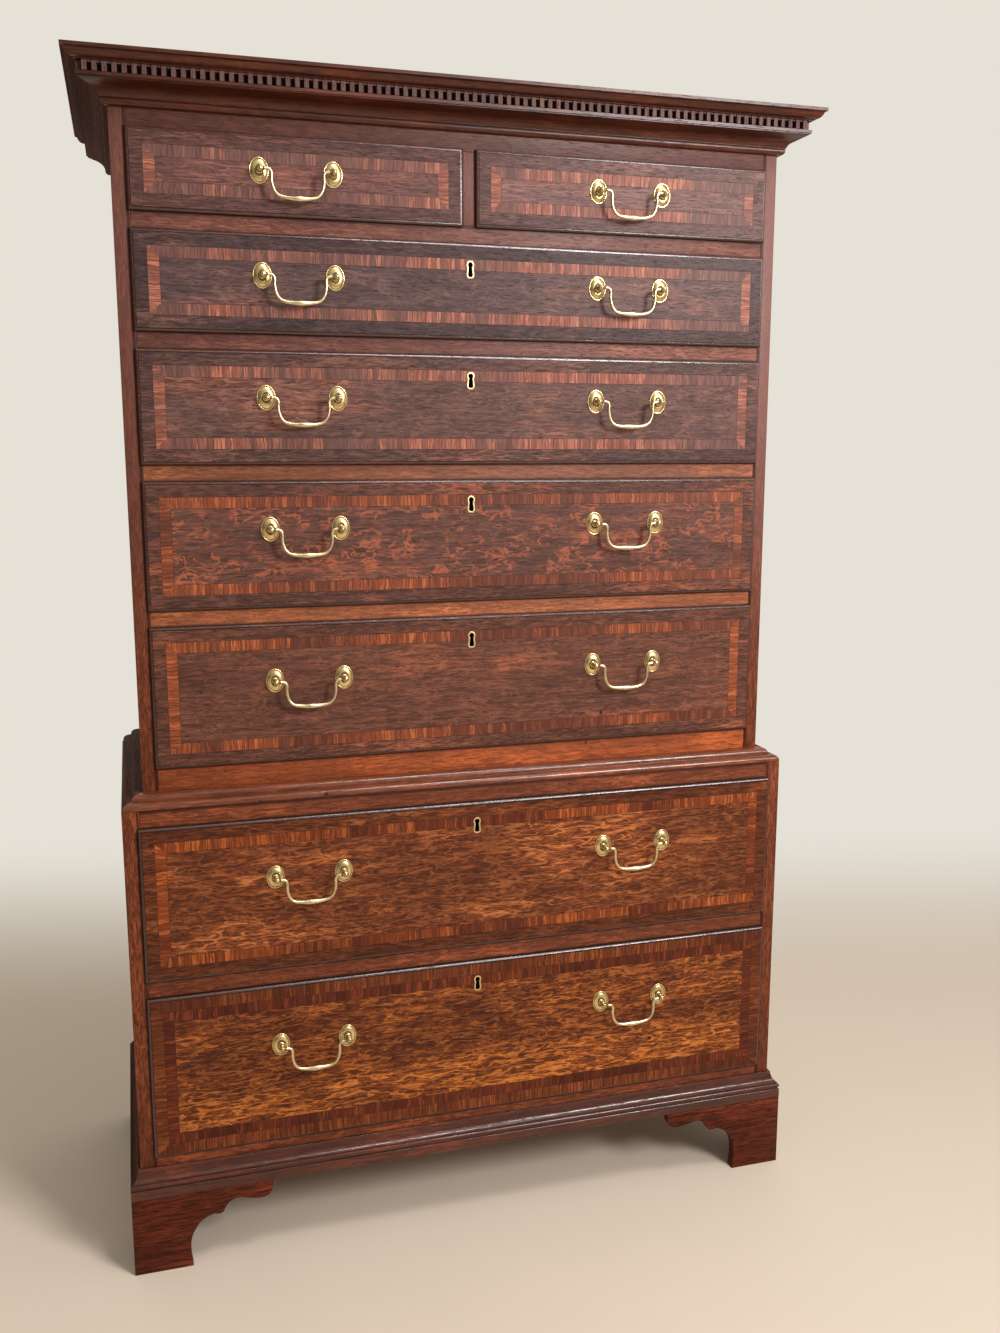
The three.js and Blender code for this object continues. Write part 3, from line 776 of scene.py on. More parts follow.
# A wood's middle tone, or the setting that holds it, then the levels of its dark, warm and light tones.
WOODS = {
    "case": ("case", 0.38, 1.5, 2.4), "side": ((118, 60, 36), 0.38, 1.5, 2.4),
    "dark": ("dark", 0.35, 1.8, 2.8), "cornice": ((74, 32, 17), 0.35, 1.8, 2.8),
    "inside": ("inside", 0.6, 1.15, 1.4), "back": ("inside", 0.6, 1.2, 1.5),
    "warm": ((152, 76, 42), 0.45, 1.5, 2.0), "lip": ((68, 32, 22), 0.35, 1.5, 2.6),
    # The oak of the side returns is a duller, greyer copy of the moulding oak: painted shade.
    "shaded": ((78, 42, 27), 0.4, 1.4, 2.0), "waist": ((114, 59, 37), 0.35, 1.6, 2.4),
    "foot": ((90, 36, 18), 0.3, 1.5, 2.4), "dentil": ((106, 76, 72), 0.5, 1.2, 1.6),
    "rail": ((142, 84, 58), 0.42, 1.5, 2.3), "glow": ((160, 92, 60), 0.42, 1.5, 2.3),
    # Mauve and frieze are the case oak made mauver for the top of the chest: painted sheen.
    "mauve": ((120, 75, 65), 0.42, 1.5, 2.3), "frieze": ((98, 59, 50), 0.42, 1.5, 2.3),
}
WELL_WAXED = {"polish": 1.5, "marks": 0.12}
UNPOLISHED = {"polish": 0.1, "figure": 0.2, "flecks": 0.1, "fineness": 520.0, "reach": 46.0}
FOOT_FIGURE = {
    "figure": 0.6, "fineness": 520.0, "reach": 30.0, "marks": 0.2, "curls": 0.4, "streaks": 0.9}
# The wood and the seed of each oak finish, and what differs in it. Its last letter is the way of the grain.
OAKS = {
    "case_x": ("case", 3.0, dict(glare=0.4, gleam=0.3, marks=0.12, threads=0.6)),
    "case_z": ("case", 6.0, dict(figure=0.6, warmth=0.4, glare=0.7, reach=30.0, marks=0.14, threads=0.75)),
    "side_z": ("side", 6.5, dict(
        figure=0.6, glare=0.2, gleam=0.25, fineness=520.0, reach=22.0, marks=0.06, threads=0.35)),
    "warm_x": ("warm", 3.7, dict(warmth=0.6, glare=0.2, gleam=0.3, marks=0.2, threads=0.4)),
    "rail_x": ("rail", 3.4, dict(glare=0.3, gleam=0.3, marks=0.15, threads=0.5)),
    "glow_x": ("glow", 3.5, dict(glare=0.2, gleam=0.3, marks=0.15, threads=0.5)),
    "mauve_x": ("mauve", 3.9, dict(glare=0.15, gleam=0.25, marks=0.15, threads=0.6)),
    "frieze_x": ("frieze", 4.4, dict(warmth=0.4, glare=0.2, gleam=0.3, marks=0.1, threads=0.5)),
    "lip_x": ("lip", 8.0, dict(polish=1.25, warmth=0.4, glare=0.1, gleam=1.2)),
    "dark_x": ("dark", 9.0, dict(WELL_WAXED, gleam=0.75)),
    # dark_y, foot_y and cornice_y, on the returns and ends at the sides, take that duller, greyer oak:
    # painted shade.
    "dark_y": ("shaded", 9.4, dict(polish=0.2, warmth=0.4, gleam=0.1, marks=0.12)),
    "waist_x": ("waist", 9.3, dict(WELL_WAXED, gleam=0.6)),
    "foot_x": ("foot", 9.6, dict(FOOT_FIGURE, polish=0.5)),
    "foot_y": ("shaded", 9.7, dict(FOOT_FIGURE, polish=0.2, gleam=0.1)),
    "cornice_x": ("cornice", 9.8, dict(polish=1.0, gleam=0.5, marks=0.12)),
    "cornice_y": ("shaded", 9.9, dict(polish=0.1, warmth=0.4, gleam=0.05, marks=0.12)),
    "dentil_z": ("dentil", 9.2, dict(polish=0.4, warmth=0.4)),
    "inside_x": ("inside", 11.0, UNPOLISHED),
    "inside_y": ("inside", 12.0, UNPOLISHED),
    "inside_z": ("inside", 13.0, UNPOLISHED),
    "back_x": ("back", 14.0, UNPOLISHED),
}
# The tone, seed and roughness of each stain. Joint and end grain are the wood's own colour; hollow is
# near-black painted shade in the quirks, lip edges and keyholes, and shadow is painted shade behind the
# dentils.
STAINS = {
    "joint": ((46, 22, 15), 1.0, 0.7), "hollow": ((14, 8, 6), 2.0, 0.8), "shadow": ((40, 27, 25), 2.5, 0.8),
    "end_grain": ((120, 84, 54), 5.0, 0.75),
}
# The tone of each brass, its roughness and how dull it is. Plain brass takes its tone from the settings.
BRASSES = {
    "brass": (None, 0.2, 0.0), "brass_bail": ((222, 204, 162), 0.25, 1.0),
    "brass_rim": ((222, 196, 140), 0.34, 0.0),
}
FINISHES = {}


def finish_of(name):
    """A finish by name, made the first time that it is asked for."""
    if name not in FINISHES:
        FINISHES[name] = make_finish(name)
    return FINISHES[name]


def tones_of(wood):
    """The dark, middle, warm and light tones of a wood."""
    middle, deep, warm, light = WOODS[wood]
    middle = getattr(bpy.context.scene.chest_finishes, middle) if isinstance(middle, str) else linear(middle)
    red, green, blue = times(middle, 0.6 if wood == "back" else 1.0)
    return (times((red, green, blue), deep), (red, green, blue),
            (red * warm, green * warm * 0.94, blue * warm * 0.8),
            (red * light, green * light, blue * light * 0.9))


def field_finish(name, drawer, polish):
    """The oak of a drawer's field: bolder and finer on the two lower drawers."""
    tones = [linear(tone) for tone in FIELD_TONES[drawer]]
    bold = {"fineness": 820.0, "reach": 80.0, "curls": 0.8, "threads": 0.6}
    calm = {"fineness": 640.0, "reach": 24.0, "curls": 0.45, "threads": 0.35}
    return oak(name, "x", tones, 1.0 + DRAWERS.index(drawer) * 1.37, polish,
               figure={"long_6": 1.0, "long_5": 0.75, "long_4": 0.45}.get(drawer, 0.4),
               flecks={"long_3": 0.5, "long_2": 0.2, "long_1": 0.2}.get(drawer, 0.15),
               warmth={"long_6": 0.7, "long_5": 0.55, "long_4": 0.3}.get(drawer, 0.45),
               streaks={"long_6": 0.55, "long_5": 0.38}.get(drawer, 0.35),
               warm_below=0.29 if drawer == "long_6" else 0, glare=0.14, marks=0.05,
               **(bold if drawer in LOWER_DRAWERS else calm))


def edge_finish(name, drawer, polish):
    """The oak outside a drawer's crossbanding, a little darker than its field."""
    level = {"long_4": 0.95, "long_3": 0.88, "long_2": 0.82, "long_1": 0.7}.get(drawer, 0.75)
    tones = [times(linear(tone), level) for tone in FIELD_TONES[drawer]]
    return oak(name, "x", tones, 2.1 + DRAWERS.index(drawer) * 1.37, polish, figure=0.5, warmth=0.4,
               glare=0.1, fineness=520.0, reach=46.0, marks=0.1, threads=0.5)


def band_finish(name, band, polish):
    """Crossbanding by its height on the chest and its run, or the border of the lowest drawer."""
    height, run = band.split("_")
    seed = {"border": 7.0, "base": 8.0, "low": 2.0, "middle": 3.3, "high": 5.0}[height]
    if run == "z" and height != "border":
        seed += 0.7
    variety = 0.15 if height == "border" else 0.35
    glare = {"high": 0.1, "middle": 0.25}.get(height, 0.0)
    return crossbanded(name, run, [linear(tone) for tone in BAND_TONES[height]], seed, variety, glare, polish)


def make_finish(name):
    colours = bpy.context.scene.chest_finishes
    kind, _, rest = name.partition("_")
    makers = {"field": field_finish, "edge": edge_finish, "band": band_finish}
    if kind in makers:
        return makers[kind](name, rest, colours.polish)
    if name in OAKS:
        wood, seed, manner = OAKS[name]
        return oak(name, name[-1], tones_of(wood), seed, **{"polish": colours.polish, **manner})
    if name in STAINS:
        tone, seed, roughness = STAINS[name]
        return stained(name, linear(tone), seed, roughness)
    if name in BRASSES:
        tone, roughness, dull = BRASSES[name]
        tone = linear(tone) if tone else tuple(colours.brass)
        return brass(name, tone, tuple(colours.grime), roughness, dull)
    return iron(name)


# Where each drawer is

# In this order: how far a drawer's face stands out from its case, how far its lip covers the case, how far
# the lip's back stays clear of it, how deep the quirk is sunk, and how far below the opening's top the
# keyhole is.
FACE_OUT, LIP_OVER, LIP_GAP, QUIRK_DEPTH, KEYHOLE_DOWN = 7 * MM, 3 * MM, 0.4 * MM, 0.5 * MM, 34 * MM
# The numbers of the faces of a drawer front, in the order of its finishes.
FIELD, BAND_X, BAND_Z, JOINT, LIP, HOLLOW, INSIDE, BORDER_X, BORDER_Z, EDGE = range(10)


class DrawerPlace:
    """A drawer's lip, opening and case front, read from the frame."""

    def __init__(self, name):
        low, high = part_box(f"drawer_front_{name}")
        self.name = name
        self.body = f"drawer_{name}"
        self.plane = LOWER_FRONT if name in LOWER_DRAWERS else UPPER_FRONT
        self.face = self.plane - FACE_OUT
        self.left, self.right = low.x, high.x
        self.bottom, self.top = low.z, high.z
        self.box_low, self.box_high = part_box(f"drawer_box_{name}")
        self.opening_bottom, self.opening_top = self.box_low.z, high.z - LIP_OVER
        self.middle = (low.x + high.x) / 2
        self.keyhole = (0, self.opening_top - KEYHOLE_DOWN)


def keyhole_outline(place, width, height):
    """A drawer's keyhole in outline: a round head, a waist and a wider foot."""
    radius = width / 2
    head = height / 2 - radius
    waist = 0.68 * radius
    points = []
    for step in range(11):
        angle = math.radians(-28 + step * 23.6)
        points.append((radius * math.cos(angle), head + radius * math.sin(angle)))
    side = [(waist, head - radius * 0.95), (waist * 1.12, 0), (radius * 0.98, -height * 0.36),
            (radius * 0.85, -height * 0.45), (radius * 0.5, -height / 2)]
    points += [(-x, z) for x, z in side] + side[::-1]
    middle, up = place.keyhole
    return [(middle + x, up + z) for x, z in points]


# Drawer fronts

def model_front(place, sizes):
    """A board behind a moulded lip, with the banding and its dark joints laid out on the face."""
    plane = place.plane
    lip_back = plane - LIP_GAP
    piece = board(
        f"front_{place.name}", (place.left, lip_back - sizes.lip_edge, place.bottom),
        (place.right, lip_back, place.top))
    only(piece)
    edit()
    choose(lambda middle, face: face.normal.y > 0.9)
    width, height = place.right - place.left - 2 * LIP_OVER, place.top - place.bottom - 2 * LIP_OVER
    step_in(LIP_OVER, 0)
    narrower, lower = (width - 3 * MM) / width, (height - 2 * MM) / height
    stretch((narrower, 1, lower), (place.middle, plane, place.opening_bottom))
    extrude(0, sizes.board + LIP_GAP, 0)
    choose(lambda middle, face: face.normal.y < -0.9)
    across, out = 0.0, 0.0
    for step in range(1, 6):
        angle = math.radians(18 * step)
        next_across, next_out = sizes.lip_round * (1 - math.cos(angle)), sizes.lip_round * math.sin(angle)
        step_in(next_across - across, next_out - out)
        across, out = next_across, next_out
    step_in(0.1 * MM, -QUIRK_DEPTH)
    step_in(sizes.quirk, 0)
    step_in(0.12 * MM, lip_back - place.face - sizes.lip_edge - sizes.lip_round + QUIRK_DEPTH)
    in_so_far = sizes.lip_round + sizes.quirk + 0.22 * MM
    for ring in (sizes.band_inset - in_so_far, sizes.line_width, sizes.band_width, sizes.line_width):
        step_in(ring, 0)
    done()
    number_faces(piece, place, sizes)
    smooth(24)
    return piece


def number_faces(piece, place, sizes):
    """Numbers the faces of a front by what they show."""
    start = sizes.band_inset
    joint_1 = start + sizes.line_width
    band_end = joint_1 + sizes.band_width
    joint_2 = band_end + sizes.line_width
    for face in piece.data.polygons:
        x, y, z = face.center
        from_sides = min(x - place.left, place.right - x)
        from_ends = min(z - place.bottom, place.top - z)
        near = min(from_sides, from_ends)
        runs_across = from_ends < from_sides
        if y > place.plane - 0.2 * MM:
            number = INSIDE
        # Faces off the face that are not the rounded lip, such as the quirk and the lip's outer edges, take
        # the near-black hollow finish: painted shade.
        elif abs(y - place.face) > MM / 20:
            on_lip = y < place.plane - MM and abs(face.normal.y) > 0.25 and near < sizes.lip_round
            number = LIP if on_lip else HOLLOW
        elif near < start:
            number = EDGE if place.name != "long_6" else BORDER_X if runs_across else BORDER_Z
        elif near < joint_1 or band_end < near < joint_2:
            number = JOINT
        elif near < band_end:
            number = BAND_X if runs_across else BAND_Z
        else:
            number = FIELD
        face.material_index = number


def dress_front(name, sizes, handles):
    place = DrawerPlace(name)
    height = {"long_6": "base", "long_5": "low", "long_4": "middle", "long_3": "middle"}.get(name, "high")
    piece = finished(model_front(place, sizes), (
        f"field_{name} band_{height}_x band_{height}_z joint lip_x hollow inside_x band_border_x "
        f"band_border_z edge_{name}"))
    if name in LOCKED_DRAWERS:
        outline = keyhole_outline(place, handles.keyhole_width, handles.keyhole_height)
        cutter = drawn("keyhole_cutter", outline, place.face - 2 * MM, place.plane + sizes.board + 2 * MM)
        # The keyhole's walls take the near-black hollow finish: painted shade.
        cut(piece, finished(cutter, "hollow"))
    hand_over(piece, None, place.body, "drawer_oak", f"drawer_front_{name}")


# Locks and keyhole rims

LOCK_CASE = (64 * MM, 12 * MM, 54 * MM)
# Across from the middle of the lock case and up from its top, in millimetres.
LOCK_SCREWS = ((-27, -8), (27, -8), (-27, -46), (27, -46))


def dress_lock(name, sizes, handles):
    """The brass rim of a keyhole, the lock case behind the front with its screws, and its bolt."""
    place = DrawerPlace(name)
    outline = keyhole_outline(place, handles.keyhole_width, handles.keyhole_height)
    rim = drawn(f"keyhole_rim_{name}", outline, place.face - 0.35 * MM, place.face + 1.2 * MM)
    only(rim)
    edit()
    choose(lambda middle, face: abs(face.normal.y) > 0.9)
    bpy.ops.mesh.delete(type="FACE")
    done()
    modified(rim, "SOLIDIFY", thickness=handles.rim, offset=1, use_even_offset=True)
    hand_over(soften(rim, 0.25 * MM), "brass_rim", place.body, "brass")

    wide, deep, tall = LOCK_CASE
    back = place.plane + sizes.board
    top = place.opening_top - 2 * MM
    case = board(f"lock_case_{name}", (-wide / 2, back, top - tall), (wide / 2, back + deep, top), 0.8 * MM)
    cut(case, board("slot_cutter", (-11.4 * MM, back + 3.6 * MM, top - 18.9 * MM),
                    (11.4 * MM, back + 7.4 * MM, top + MM)))
    cut(case, drawn("keyhole_cutter", outline, back - MM, back + 5 * MM))
    hand_over(soften(case, 0), "iron", place.body, "brass")
    heads = [screw_head(f"screw_{x}_{z}", x * MM, back + deep, top + z * MM) for x, z in LOCK_SCREWS]
    hand_over(joined(heads, f"lock_screws_{name}"), "iron", place.body, "brass")
    bolt = board(f"bolt_{name}", *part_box(f"lock_bolt_{name}"), 0.5 * MM)
    hand_over(bolt, "brass", f"lock_bolt_{name}", "brass", f"lock_bolt_{name}")


def turned_back(name, profile, sides, x=0.0, y=0.0, z=0.0):
    """A turned piece that faces the back, from rows of radius and height in millimetres."""
    return shifted(turned(name, metres((*row, 0) for row in profile), sides), x, y, z, math.pi)


def screw_head(name, x, y, z):
    """A slotted round head that stands on a surface facing the back."""
    head = turned_back(name, [(3.4, 0), (3.2, 0.5), (2.4, 1.0), (1.2, 1.25), (0.2, 1.3)], 14)
    cut(head, board("slot_cutter", (-4 * MM, 0.7 * MM, -0.4 * MM), (4 * MM, 2 * MM, 0.4 * MM)))
    return shifted(head, x, y, z)


# Roses, posts and bails

ROSE_WIDTH = 27.4 * MM
GRIP_HALF = 26 * MM

# Rows of radius, reach in front of the drawer and old dirt.
ROSE_ROWS = [
    (13.7, -0.4, 1.0), (13.7, 0.5, 0.6), (13.4, 0.95, 0.0), (12.8, 1.1, 0.0), (12.3, 0.95, 0.6),
    (12.0, 0.7, 1.0), (11.6, 0.75, 0.9), (11.0, 1.3, 0.1), (9.8, 2.05, 0.0), (8.2, 2.65, 0.0),
    (6.9, 2.95, 0.1), (6.2, 3.0, 0.7), (5.6, 2.9, 1.0),
]
POST_ROWS = [
    (3.2, 2.2, 1.0), (5.3, 2.7, 1.0), (5.5, 3.2, 0.4), (5.3, 3.9, 0.0), (4.6, 4.6, 0.1), (3.4, 5.2, 0.8),
    (2.8, 6.2, 0.5), (2.7, 8.5, 0.1), (2.8, 10.6, 0.3), (3.5, 11.3, 0.6), (4.0, 11.9, 0.0), (4.0, 12.5, 0.1),
    (3.5, 12.9, 0.9), (4.0, 13.7, 0.4), (4.55, 15.2, 0.0), (4.7, 17.0, 0.0), (4.5, 18.7, 0.0),
    (4.0, 19.9, 0.0), (3.3, 20.5, 0.1), (2.8, 20.6, 1.0), (2.4, 20.4, 1.0), (1.9, 20.6, 0.6),
    (1.1, 21.05, 0.0), (0.3, 21.2, 0.0),
]


def grimy_rows(rows, scale=1.0):
    """Rows of millimetres in metres, with their radius scaled and their old dirt as it is."""
    return [(radius * MM * scale, reach * MM, grime) for radius, reach, grime in rows]


def dress_handles(sizes, front):
    """Models one rose, one post and one nut, and copies them to every handle."""
    rose = turned("rose", grimy_rows(ROSE_ROWS, sizes.rose_width / ROSE_WIDTH), 28)
    stretch((1, 1, sizes.rose_height / sizes.rose_width))
    settle()
    post = turned("post", grimy_rows(POST_ROWS), 20)
    nut = model_nut()
    for drawer in DRAWERS:
        place = DrawerPlace(drawer)
        for handle in HANDLES[drawer]:
            pin = PINS[handle]
            for stem, template, y, finish in (
                    ("roses", rose, place.face, "brass"), ("posts", post, place.face, "brass"),
                    ("nuts", nut, place.plane + front, "iron")):
                pair = [copied(template, f"{stem}_{side}", pin.x + side * sizes.post_spacing / 2, y, pin.z)
                        for side in (-1, 1)]
                hand_over(joined(pair, f"{stem}_{handle}"), finish, place.body, "brass")
    for template in (rose, post, nut):
        remove(template)


def model_nut():
    """A square nut with the end of the post's screw standing out of it."""
    nut = board("nut", (-5.5 * MM, 0, -5.5 * MM), (5.5 * MM, 4 * MM, 5.5 * MM), 0.7 * MM)
    end = turned_back("screw_end", [(2.2, -3), (2.2, 2.4), (1.8, 2.9), (0.2, 3)], 12, y=3.2 * MM)
    return joined([nut, end], "nut")


# From a pin to the middle of the grip, in shares of the post spacing and of the drop.
BAIL_PATH = [
    (0.497, 0), (0.47, 0), (0.442, 0), (0.4, -0.01), (0.366, -0.05), (0.351, -0.16), (0.353, -0.34),
    (0.345, -0.54), (0.315, -0.76), (0.255, -0.92), (0.15, -0.985), (0, -1),
]


def model_bail(sizes):
    """A swan-neck bail with a swollen grip and a bead where each end enters its post."""
    right = [(out * sizes.post_spacing, drop * sizes.drop) for out, drop in BAIL_PATH]
    left = [(-x, z) for x, z in reversed(right[:-1])]
    path = through([*right, *left], 4)
    clear()
    first = path[0]
    bpy.ops.mesh.primitive_circle_add(
        vertices=12, radius=1, location=(first[0], 0, first[1]), rotation=(0, math.pi / 2, 0),
        fill_type="NGON")
    piece = settle("bail")
    edit()
    whole()
    radius = 1.0
    heading = math.pi
    for index, (x, z) in enumerate(path):
        before, after = path[max(index - 1, 0)], path[min(index + 1, len(path) - 1)]
        turn_to = math.atan2(after[1] - before[1], after[0] - before[0])
        if index:
            extrude(x - path[index - 1][0], 0, z - path[index - 1][1])
        change = math.atan2(math.sin(turn_to - heading), math.cos(turn_to - heading))
        if abs(change) > 0.0001:
            turn(change, "Y", (x, 0, z))
        next_radius = bail_radius(x, index, len(path), sizes)
        stretch((next_radius / radius,) * 3, (x, 0, z))
        radius, heading = next_radius, turn_to
    face_out()
    done()
    in_posts = 0.437 * sizes.post_spacing
    soil_and_shade(piece, [0.85 if abs(vertex.co.x) > in_posts else 0.0 for vertex in piece.data.vertices])
    smooth(50)
    return piece


def bail_radius(x, index, count, sizes):
    """Thin at the pins with a bead before them, even down the legs, swollen at the grip."""
    from_end = min(index, count - 1 - index)
    half = sizes.post_spacing / 2
    if abs(x) > 0.93 * half:
        return 1.9 * MM
    if from_end < 9 and abs(x) > 0.84 * half:
        return 2.9 * MM
    if abs(x) >= GRIP_HALF:
        return sizes.leg
    taper = 1 - (x / GRIP_HALF) ** 2
    swell = math.exp(-(x / (8 * MM)) ** 2)
    return sizes.leg + (sizes.grip - sizes.leg) * (0.45 * taper + 0.55 * swell)


def dress_bails(sizes):
    bail = model_bail(sizes)
    for handle, pin in PINS.items():
        hand_over(copied(bail, f"brass_bail_{handle}", *pin), "brass_bail", f"bail_{handle}", "brass",
                  f"bail_{handle}")
    remove(bail)


# Cornice, waist and base mouldings

# How far each point of a moulding stands out from the case, and its height, in millimetres.
CORNICE_ROWS = [
    (0.3, 1697), (3.4, 1697), (5.2, 1697.3), (7.0, 1698.4), (8.4, 1700.2), (9.1, 1702.2), (9.0, 1704.2),
    (8.3, 1705.8), (9.6, 1706.3), (9.7, 1707.2), (10.3, 1708.4), (11.9, 1710.9), (14.5, 1713.6),
    (18.3, 1716.2), (23.2, 1718.4), (28.9, 1720.3), (34.6, 1722.6), (36.0, 1723.4), (36.0, 1724.6),
    (37.9, 1724.9), (37.9, 1729.24), (29.75, 1729.24), (29.75, 1743.0), (39.5, 1743.0), (39.8, 1744.0),
    (42.0, 1744.2),
    (44.8, 1745.1), (47.2, 1746.6), (48.9, 1748.5), (50.0, 1750.6), (50.8, 1752.4), (52.2, 1753.6),
    (54.4, 1754.1), (54.8, 1754.6), (54.8, 1758.6), (54.4, 1759), (0.3, 1759),
]
WAIST_ROWS = [
    (0.3, 729), (28.6, 729), (29.2, 729.5), (29.3, 731.4), (28.9, 733.6), (27.6, 735.7), (25.6, 737.4),
    (22.8, 738.7), (19.4, 739.4), (16.2, 739.6), (15.7, 739.9), (15.6, 741.6), (15.0, 743.6), (13.8, 745.4),
    (12.0, 747.0), (9.6, 748.2), (6.6, 748.8), (3.3, 749), (0.3, 749),
]
BASE_ROWS = [
    (0.3, 122.5), (15.7, 122.5), (16.0, 122.8), (16.0, 137.2), (15.4, 137.9), (13.6, 138.4), (13.4, 139.8),
    (14.4, 140.4), (15.5, 141.5), (16.0, 143.2), (15.8, 144.9), (14.9, 146.2), (13.3, 147.0), (12.2, 147.2),
    (12.1, 148.6), (10.6, 149.4), (8.6, 151.0), (7.2, 153.2), (6.3, 155.8), (5.6, 158.6), (4.5, 161.4),
    (3.8, 163.6), (3.8, 166.1), (3.4, 166.5), (0.3, 166.5),
]


DENTIL_BED = 29.75 * MM
DENTIL_FACE = 36.8 * MM
DENTIL_TOP = 1743 * MM
DENTIL_END = 7.5 * MM


def moulding(name, rows, half, front):
    """A mitred moulding on a case, with painted shade in the hollows where its surface turns in most."""
    piece = mitred(name, metres(rows), half, front, CASE_BACK)
    dips = [0.0] * len(piece.data.vertices)
    for edge in piece.data.edges:
        for here, there in (edge.vertices, reversed(edge.vertices)):
            vertex = piece.data.vertices[here]
            towards = (piece.data.vertices[there].co - vertex.co).normalized()
            dips[here] += vertex.normal.dot(towards)
    return soil_and_shade(piece, [max(0.0, min(1.0, dip * 1.3)) for dip in dips])


def dress_mouldings():
    for name, rows, half, front, finish in (
            ("waist", WAIST_ROWS, UPPER_HALF, UPPER_FRONT, "waist_x"),
            ("base", BASE_ROWS, LOWER_HALF, LOWER_FRONT, "dark_x")):
        piece = moulding(f"{name}_step", rows, half, front)
        hand_over(piece, f"{finish} dark_y", "case", "dark_oak", f"{name}_moulding")


def dress_cornice(sizes):
    piece = moulding("cornice_moulding", CORNICE_ROWS, UPPER_HALF, UPPER_FRONT)
    for face in piece.data.polygons:
        if DENTIL_TOP - 13 * MM < face.center.z < DENTIL_TOP - MM and abs(face.normal.z) < 0.5:
            face.material_index = 2
    hand_over(piece, "cornice_x cornice_y shadow", "case", "dark_oak", "cornice")
    half = sizes.dentil_width / 2
    end = UPPER_HALF + DENTIL_FACE - DENTIL_END - half
    count = round(end / sizes.dentil_pitch)
    front = dentils("dentils_front", end / count, 2 * count + 1, sizes)
    shifted(front, -end, UPPER_FRONT, 0)
    hand_over(front, "dentil_z", "case", "dark_oak")
    start = DENTIL_END + half - DENTIL_FACE
    run = CASE_BACK - UPPER_FRONT - half - start
    count = round(run / sizes.dentil_pitch)
    for side, sign in (("left", -1), ("right", 1)):
        row = dentils(f"dentils_{side}", run / count, count + 1, sizes)
        if sign < 0:
            shifted(row, -run, 0, 0)
        shifted(row, sign * UPPER_HALF, UPPER_FRONT + start, 0, -sign * math.pi / 2)
        hand_over(row, "dentil_z", "case", "dark_oak")


def row_of(piece, count, step):
    """Repeats a piece in a row."""
    return modified(piece, "ARRAY", count=count, use_relative_offset=False, use_constant_offset=True,
                    constant_offset_displace=step)


def dentils(name, pitch, count, sizes):
    """A row of dentils, joined at the top by a half-deep link behind their faces."""
    half, tall, bed = sizes.dentil_width / 2, sizes.dentil_height, -DENTIL_BED + 0.2 * MM
    row = board("tooth", (-half, -DENTIL_FACE, DENTIL_TOP - tall), (half, bed, DENTIL_TOP), 0.35 * MM, 1)
    row_of(row, count, (pitch, 0, 0))
    inset = half - 0.3 * MM
    link = board("link", (-inset, -DENTIL_FACE + 1.5 * MM, DENTIL_TOP - tall * 0.17),
                 ((count - 1) * pitch + inset, bed, DENTIL_TOP), 0.2 * MM, 1)
    return joined([row, link], name)


# Bracket feet

# The lower edge of a bracket foot, in shares of its length and height.
BRACKET_ROWS = [
    (0.41, 0), (0.4, 0.12), (0.398, 0.27), (0.406, 0.39), (0.432, 0.49), (0.468, 0.58), (0.518, 0.64),
    (0.57, 0.67), (0.592, 0.655), (0.63, 0.668), (0.646, 0.71), (0.667, 0.775), (0.7, 0.815), (0.745, 0.835),
    (0.8, 0.815), (0.868, 0.79), (0.925, 0.785), (0.965, 0.81), (0.992, 0.88), (1, 1),
]


def foot_plate(name, reach, height, thickness):
    """A shaped plate from the corner of a foot, mitred where it meets its neighbour."""
    outline = [(0, 0), *[(x * reach, z * height) for x, z in through(BRACKET_ROWS, 3)], (0, height)]
    plate = drawn(name, outline, 0, thickness)
    only(plate)
    edit()
    whole()
    bpy.ops.mesh.bisect(plane_co=(0, 0, 0), plane_no=(1, -1, 0), use_fill=True, clear_inner=True)
    merge_points()
    face_out()
    done()
    return soften(plate, 0.7 * MM, 2, 35)


def dress_feet(sizes):
    """Four feet, each of two plates with a glue block in their corner."""
    for end in ("front", "rear"):
        low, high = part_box(f"foot_{end}_right")
        across = foot_plate("foot_across", high.x - low.x, high.z, sizes.foot_plate)
        along = foot_plate("foot_along", high.y - low.y, high.z, sizes.foot_plate)
        only(along)
        edit()
        whole()
        stretch((-1, 1, 1))
        turn(math.pi / 2)
        face_out()
        done()
        block = glue_block("glue_block", sizes.foot_plate, high.z)
        for piece, finish, part in (
                (across, "foot_x", "face"), (along, "foot_y", "return"), (block, "inside_z", "glue_block")):
            only(piece)
            edit()
            whole()
            if end == "rear":
                stretch((1, -1, 1))
            push(-high.x, low.y if end == "front" else high.y)
            face_out()
            done()
            piece.name = f"foot_{end}_left_{part}"
            other = flipped(piece, f"foot_{end}_right_{part}")
            for side, made in (("left", piece), ("right", other)):
                nodes = [f"foot_{end}_{side}"] if part == "face" else []
                hand_over(made, finish, "case", "dark_oak", *nodes)


def glue_block(name, plate, height):
    """A square block with its inner corner planed off."""
    block = board(name, (plate, plate, 0), (plate + 45 * MM, plate + 45 * MM, height))
    only(block)
    edit()
    whole()
    corner = plate + 36 * MM
    bpy.ops.mesh.bisect(plane_co=(corner, corner, 0), plane_no=(1, 1, 0), use_fill=True, clear_outer=True)
    merge_points()
    face_out()
    done()
    return soften(block, 0.8 * MM, 1)


# Case boards

SIDES = ("upper_side_left", "upper_side_right", "lower_side_left", "lower_side_right")
